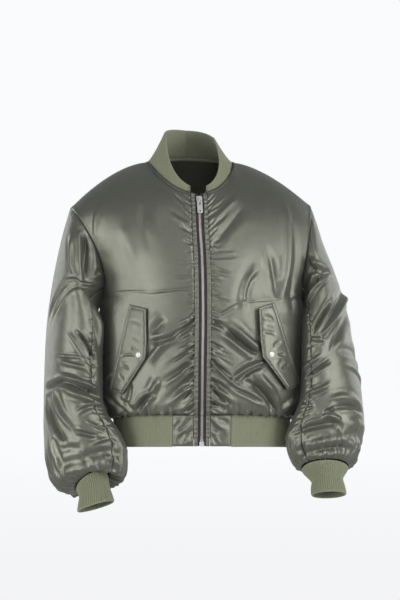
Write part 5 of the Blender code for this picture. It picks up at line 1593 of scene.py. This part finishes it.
def neck_edge():
    """Points of the collar seam round the neck, the shell's normal there, and the way down the shell."""
    front_left, back, front_right = sheets["front_left"], sheets["back"], sheets["front_right"]
    under_neck = FRONT_COLUMNS[0]
    middle = back.shape[1] // 2
    half = BACK_COLUMNS[0]
    parts = (
        (front_left, slice(0, under_neck)),
        (back, slice(middle - half, middle + half + 1)),
        (front_right, slice(front_right.shape[1] - under_neck, None)),
    )
    seam, normals = [], []
    for grid, span in parts:
        seam.append(grid[-1, span])
        normals.append(facing(grid)[-4, span])
    seam, normals = np.concatenate(seam), np.concatenate(normals)
    away = places_along(seam)
    at = np.linspace(0, away[-1], BINDING_COLUMNS)
    seam, normals = read_at(at, away, seam), read_at(at, away, normals)
    weights = np.exp(-((np.arange(-12, 13) / 7) ** 2))
    padded = np.concatenate([[normals[0]] * 12, normals, [normals[-1]] * 12])
    normals = np.stack(
        [np.convolve(padded[:, k], weights / weights.sum(), "valid") for k in range(3)], axis=1
    )
    normals /= np.linalg.norm(normals, axis=1, keepdims=True)
    down = np.cross(np.gradient(seam, axis=0), normals)
    down /= np.linalg.norm(down, axis=1, keepdims=True)
    down *= np.sign((down * (seam - seam.mean(axis=0))).sum(axis=1, keepdims=True))
    return seam, normals, down


seam, normals, down = neck_edge()
reach = np.linspace(BINDING_START + BINDING_WIDTH, BINDING_START, 9)
middle = np.array([seam + down * r + normals * (STRIP / 2 + BINDING_LIFT) for r in reach])
middle = held_back(middle, 0.0004)
if (facing(middle) * normals).sum() < 0:
    middle = middle[:, ::-1]
puff = np.sin(walked(middle, 1) * 900 + 3 * np.sin(walked(middle, 1) * 160)) * 0.00018 + 0.0002
folded_piece("neck_strip", middle, STRIP, "neck_binding", satin, puff, edge=0.0010)
skin = middle + facing(middle) * STRIP / 2
stitches("neck_strip_stitches", [inset_line(skin, r, "low", 0.0002) for r in (0.0011, 0.0045)], 5)

# ------------------------------------------------------------------ the flap pockets
# A padded satin flap hangs inwards from a slanting welt on each front and closes with one press stud.
# Flap and welt are edge-stitched, and the stitching draws the flap up in small puckers.
WELT_WIDTH = 0.0065
FLAP_THICK, FLAP_STAND = 0.0018, 0.0020
FLAP_PROUD = {"right": 0.003, "left": 0.007}
FLAP_GRID = (44, 120)  # across it and along it
FLAP_STITCH = 0.0050
SLOPE_REACH = 0.012
SNAP_PLACE = {"right": (0.52, 0.72), "left": (0.545, 0.65)}
FLAP_CREASES = {
    # from the sewn edge towards the free edge, and from the top down, in mm
    "right": (
        (6, 108, 40, 100, 2, 2.4, -2.2), (12, 128, 34, 134, 2, 2.8, -1.8), (26, 84, 50, 94, -2, 3, 1.4),
        (20, 62, 46, 70, 0, 3.5, -1), (8, 30, 38, 36, 2, 4, -1), (14, 150, 30, 158, 0, 3, -1.2),
        (42, 102, 54, 120, 0, 2.8, -1.4),
    ),
    "left": (
        (10, 34, 34, 26, 3, 5, 1.6), (18, 62, 44, 52, 2, 4, -2), (10, 82, 34, 88, 2, 3.6, -1.8),
        (12, 112, 30, 106, 0, 3.2, -1.6), (28, 118, 46, 126, 2, 4, 1.2), (12, 136, 34, 140, 0, 3.5, -1.4),
        (8, 12, 30, 16, 0, 4, -1),
    ),
}


def front_finder(side):
    """Finds the point and the normal of a front, before its creases, at a place seen square on."""
    form = front_form(side)
    form = form if side == "left" else form[:, ::-1]
    rows, across = form.shape[:2]
    corner = [i * across + j for i in range(rows - 1) for j in range(across - 1)]
    quads = [(k, k + 1, k + across + 1, k + across) for k in corner]
    tree = BVHTree.FromPolygons([Vector(p) for p in form.reshape(-1, 3)], quads)

    def hit(x, z):
        return np.array(tree.ray_cast(Vector((x, -1, z)), Vector((0, 1, 0)))[0])

    def find(x, z):
        across_it = hit(x + SLOPE_REACH, z) - hit(x - SLOPE_REACH, z)
        up_it = hit(x, z + SLOPE_REACH) - hit(x, z - SLOPE_REACH)
        out = np.cross(across_it, up_it)
        return hit(x, z), out / np.linalg.norm(out)

    return find


def flap_point(side, find, along, across, lift):
    """A place on a flap: along its sewn edge from 0 to 1, across it from 0 at the welt to 1 at its free
    edge.
    """
    top, bottom = np.array(FLAP_TOP[side]), np.array(FLAP_BOTTOM[side])
    edge = bottom - top
    inwards = np.array([-edge[1], edge[0]]) / np.linalg.norm(edge)
    if side == "left":
        inwards = -inwards
    width = FLAP_WIDTH * np.interp(along, *np.array(FLAP_SHAPE).T)
    from_welt = width - WELT_WIDTH if across > 0 else WELT_WIDTH - 0.0002
    from_edge = WELT_WIDTH + 0.0002 + from_welt * across
    point, out = find(*(top + edge * along + inwards * from_edge))
    return point + out * lift, out


snap_places = {}
flap_stitching = []
for side in SIDES:
    find = front_finder(side)
    stand_off = FLAP_STAND + FLAP_THICK / 2
    grid = []
    for across in np.linspace(0.0005, 1, FLAP_GRID[0]):
        lift = stand_off + FLAP_PROUD[side] * across
        grid.append([flap_point(side, find, a, across, lift)[0] for a in np.linspace(0, 1, FLAP_GRID[1])])
    middle = np.array(grid)
    down, inwards = walked(middle, 1), walked(middle, 0)
    rim = np.minimum(np.minimum(down, down[:, -1:] - down), inwards[-1:] - inwards)
    puff = creased(thousandths(FLAP_CREASES[side]), inwards, down) * eased((rim - 0.002) / 0.006)
    puff += 0.0010 * eased((rim - FLAP_STITCH) / 0.006) + 0.0006 * eased((FLAP_STITCH - rim) / 0.002)
    puff -= 0.0004 * np.exp(-(((rim - FLAP_STITCH) / 0.0010) ** 2))
    rows = gathers(80, 0.0, 0.20, 0.0065, 0.0075, 0.0020, 0.0007)
    puff += creased(rows, inwards[-1:] - inwards, down)
    along, across = SNAP_PLACE[side]
    place, out = flap_point(side, find, along, across, stand_off + FLAP_THICK / 2 + FLAP_PROUD[side] * across)
    snap_places[side] = (place, out)
    near = np.linalg.norm(middle - place, axis=2)
    puff = puff * (1 - np.exp(-((near / 0.006) ** 2))) - 0.0003 * np.exp(-((near / 0.008) ** 2))
    if facing(middle)[FLAP_GRID[0] // 2, FLAP_GRID[1] // 2, 1] > 0:
        middle, puff = middle[::-1], puff[::-1]
    folded_piece(
        f"flap_{side}", middle, FLAP_THICK, f"pocket_flap_{side}", satin, puff, edge=0.0020
    )
    skin = middle + facing(middle) * FLAP_THICK / 2
    free = "high" if np.allclose(middle[-1], np.array(grid)[-1]) else "low"
    flap_stitching += [
        inset_line(skin, FLAP_STITCH, edge, 0.0008, 0.03, 0.97) for edge in ("first", "last", free)
    ]
    grid = []
    for across in (-0.03, -0.15, -0.35, -0.5, -0.65, -0.85, -1.0):
        lift = FLAP_STAND + STRIP / 2
        grid.append([flap_point(side, find, a, across, lift)[0] for a in np.linspace(0, 1, FLAP_GRID[1])])
    middle = np.array(grid)
    if facing(middle)[3, FLAP_GRID[1] // 2, 1] > 0:
        middle = middle[::-1]
    puff = np.sin(walked(middle, 1) * 800 + 2 * np.sin(walked(middle, 1) * 190)) * 0.00018 + 0.0003
    folded_piece(f"welt_{side}", middle, STRIP, f"pocket_welt_{side}", satin_strip, puff, edge=0.0012)
    skin = middle + facing(middle) * STRIP / 2
    flap_stitching += [inset_line(skin, r, "low", 0.0003) for r in (0.0013, 0.0050)]
stitches("flap_stitches", flap_stitching, 6)

# ------------------------------------------------------------------ the metal
# Nickel-plated brass: bright, a little brushed by wear, with a faint warm stain in uneven patches.
NICKEL_COLOUR, NICKEL_WORN = (0.86, 0.85, 0.83), (0.66, 0.64, 0.61)


def metal_material(name, light, dark, roughness):
    """Cast metal in two tones, a little worn and uneven."""
    made = plain_material(name, light, roughness)
    tree = made.node_tree
    shader = tree.nodes["Principled BSDF"]
    shader.inputs["Metallic"].default_value = 1.0
    place, wear = tree.nodes.new("ShaderNodeTexCoord"), tree.nodes.new("ShaderNodeTexNoise")
    filled_in(wear, {"Scale": 900.0, "Detail": 3.0})
    tones, shine, bump = (tree.nodes.new(f"ShaderNode{kind}") for kind in ("Mix", "MapRange", "Bump"))
    tones.data_type = "RGBA"
    filled_in(tones, {"A": dark, "B": light})
    filled_in(shine, {"To Min": roughness - 0.08, "To Max": roughness + 0.14})
    filled_in(bump, {"Strength": 0.15, "Distance": 0.0001})
    tree.links.new(place.outputs["Object"], wear.inputs["Vector"])
    tree.links.new(wear.outputs[0], tones.inputs["Factor"])
    tree.links.new(wear.outputs[0], shine.inputs["Value"])
    tree.links.new(wear.outputs[0], bump.inputs["Height"])
    tree.links.new(tones.outputs["Result"], shader.inputs["Base Color"])
    tree.links.new(shine.outputs["Result"], shader.inputs["Roughness"])
    tree.links.new(bump.outputs["Normal"], shader.inputs["Normal"])
    return made


nickel = metal_material("worn_nickel", NICKEL_COLOUR, NICKEL_WORN, 0.42)

# ------------------------------------------------------------------ the press studs
# The cap of a press stud on each flap: a low bright dome with a rolled rim.
SNAP_PROFILE = ((0.0, 0.0024), (0.0014, 0.00225), (0.0028, 0.0017), (0.0036, 0.0011), (0.0039, 0.0009),
                (0.0043, 0.00125), (0.0048, 0.0014), (0.0053, 0.0011), (0.0055, 0.0006), (0.0053, 0.0001))
SNAP_STEPS = 40
for side, (place, out) in snap_places.items():
    turned = Matrix.Translation(Vector(place)) @ Vector(out).to_track_quat("Z", "Y").to_matrix().to_4x4()
    build = bmesh.new()
    rings = []
    for radius, high in SNAP_PROFILE:
        steps = [k / SNAP_STEPS * math.tau for k in range(SNAP_STEPS)] if radius else [0.0]
        at = [turned @ Vector((radius * math.cos(t), radius * math.sin(t), high - 0.0002)) for t in steps]
        rings.append([build.verts.new(p) for p in at])
    for k in range(SNAP_STEPS):
        after = (k + 1) % SNAP_STEPS
        build.faces.new((rings[0][0], rings[1][k], rings[1][after]))
        for near, far in zip(rings[1:-1], rings[2:]):
            build.faces.new((near[k], far[k], far[after], near[after]))
    build.faces.new(rings[-1][::-1])
    mesh = bpy.data.meshes.new(f"stud_{side}")
    build.to_mesh(mesh)
    build.free()
    mesh.shade_smooth()
    mesh.materials.append(nickel)
    joins_jacket(in_scene(f"stud_{side}", mesh), "nickel", f"snap_{side}")

# ------------------------------------------------------------------ the zip
# An open-ended metal zip: two woven tapes, a row of separate teeth clamped to each, a slider and a box at
# the foot.
TAPE_THICK, TAPE_DEPTH = 0.0008, 0.0010
TEETH_HALF = 0.0034
SLIDER_V = 0.966
TAPE_COLOUR, TAPE_DARK = (0.026, 0.023, 0.029), (0.017, 0.015, 0.019)
TOOTH_PITCH = 0.0026
zip_tape = cloth_material(
    "woven_zip_tape", TAPE_COLOUR, TAPE_DARK, roughness=0.75, thread=0.0009, lump=0.003, depth=0.8, sheen=0.2
)
tooth_metal = metal_material("zip_tooth_metal", (0.80, 0.76, 0.71), (0.50, 0.46, 0.43), 0.34)


def tooth_mesh(towards):
    """One tooth: a leg that clamps the tape's cord, and a narrower head that reaches across the centre
    line.
    """
    build = bmesh.new()
    for low, high in (((-0.0032, -0.0014, -0.00062), (0.0004, 0.0014, 0.00062)),
                      ((0.0002, -0.0011, -0.00052), (0.0016, 0.0011, 0.00052))):
        block = bmesh.ops.create_cube(build, size=1.0)["verts"]
        low, high = Vector(low), Vector(high)
        bmesh.ops.scale(build, vec=high - low, verts=block)
        bmesh.ops.translate(build, vec=(low + high) / 2, verts=block)
    bmesh.ops.bevel(build, geom=list(build.edges), offset=0.0003, segments=1, affect="EDGES")
    if towards < 0:
        bmesh.ops.scale(build, vec=(-1, 1, 1), verts=build.verts)
        bmesh.ops.reverse_faces(build, faces=build.faces)
    mesh = bpy.data.meshes.new("tooth")
    build.to_mesh(mesh)
    build.free()
    return mesh


for side in SIDES:
    heights = zip_heights(ZIP_TOP_V, 300)
    columns = np.linspace(TEETH_HALF - 0.0004, PLACKET_EDGE - 0.0008, 16)
    middle = zip_line(side, columns, heights, -TAPE_DEPTH)
    along = walked(middle, 1)
    cord = 0.0008 * np.exp(-(((along if side == "left" else along[:, -1:] - along) - 0.0006) / 0.0009) ** 2)
    tape = folded_piece(
        f"tape_{side}", middle, TAPE_THICK, f"zip_tape_{side}", zip_tape, cord, edge=0.0005
    )
    heights = zip_heights(SLIDER_V - 0.012, 300)
    rail = zip_line(side, [0.0002, 0.0018], heights, -TAPE_DEPTH)
    out = facing(rail)
    rail = rail[:, 0] if side == "left" else rail[:, -1]
    shift = 0.0 if side == "left" else TOOTH_PITCH / 2
    rail = rail + np.array([0, 0, shift])
    teeth = rows_of_items(
        f"teeth_{side}", [(rail, out[:, 0])], tooth_mesh(-SIDES[side]), TOOTH_PITCH, tooth_metal, 0.03, 8
    )
    joins_jacket(teeth, "nickel", f"zip_teeth_{side}")

# ------------------------------------------------------------------ slider, pull tab and box
# Cast nickel pieces: the slider with its bail, the pull tab that swings on the bail, and the square box
# at the foot. Their edges are rounded by tumbling, so each is the plain part with a small bevel.
def tumbled(node, name, bevel):
    """The CAD part with its doubles merged, its flats joined and its edges rounded."""
    build = bmesh.new()
    build.from_mesh(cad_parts[node].data)
    bmesh.ops.remove_doubles(build, verts=build.verts, dist=1e-6)
    bmesh.ops.dissolve_limit(build, angle_limit=0.02, verts=build.verts, edges=build.edges)
    mesh = bpy.data.meshes.new(name)
    build.to_mesh(mesh)
    build.free()
    mesh.materials.clear()
    mesh.materials.append(nickel)
    made = in_scene(name, mesh)
    rounding = made.modifiers.new("rounding", "BEVEL")
    rounding.width = bevel
    rounding.segments = 2
    rounding.limit_method = "ANGLE"
    rounding.angle_limit = 0.6
    return made


slider = plain_copy("slider", tumbled("zip_slider", "slider_base", 0.00022))
joins_jacket(slider, "nickel", "zip_slider")
foot_box = plain_copy("foot_box", tumbled("zip_box", "foot_box_base", 0.00022))
joins_jacket(foot_box, "nickel", "zip_box")
tab = plain_copy("pull", tumbled("pull_tab", "pull_base", 0.00025))
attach(tab, "pull_tab")
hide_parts("pull_tab")
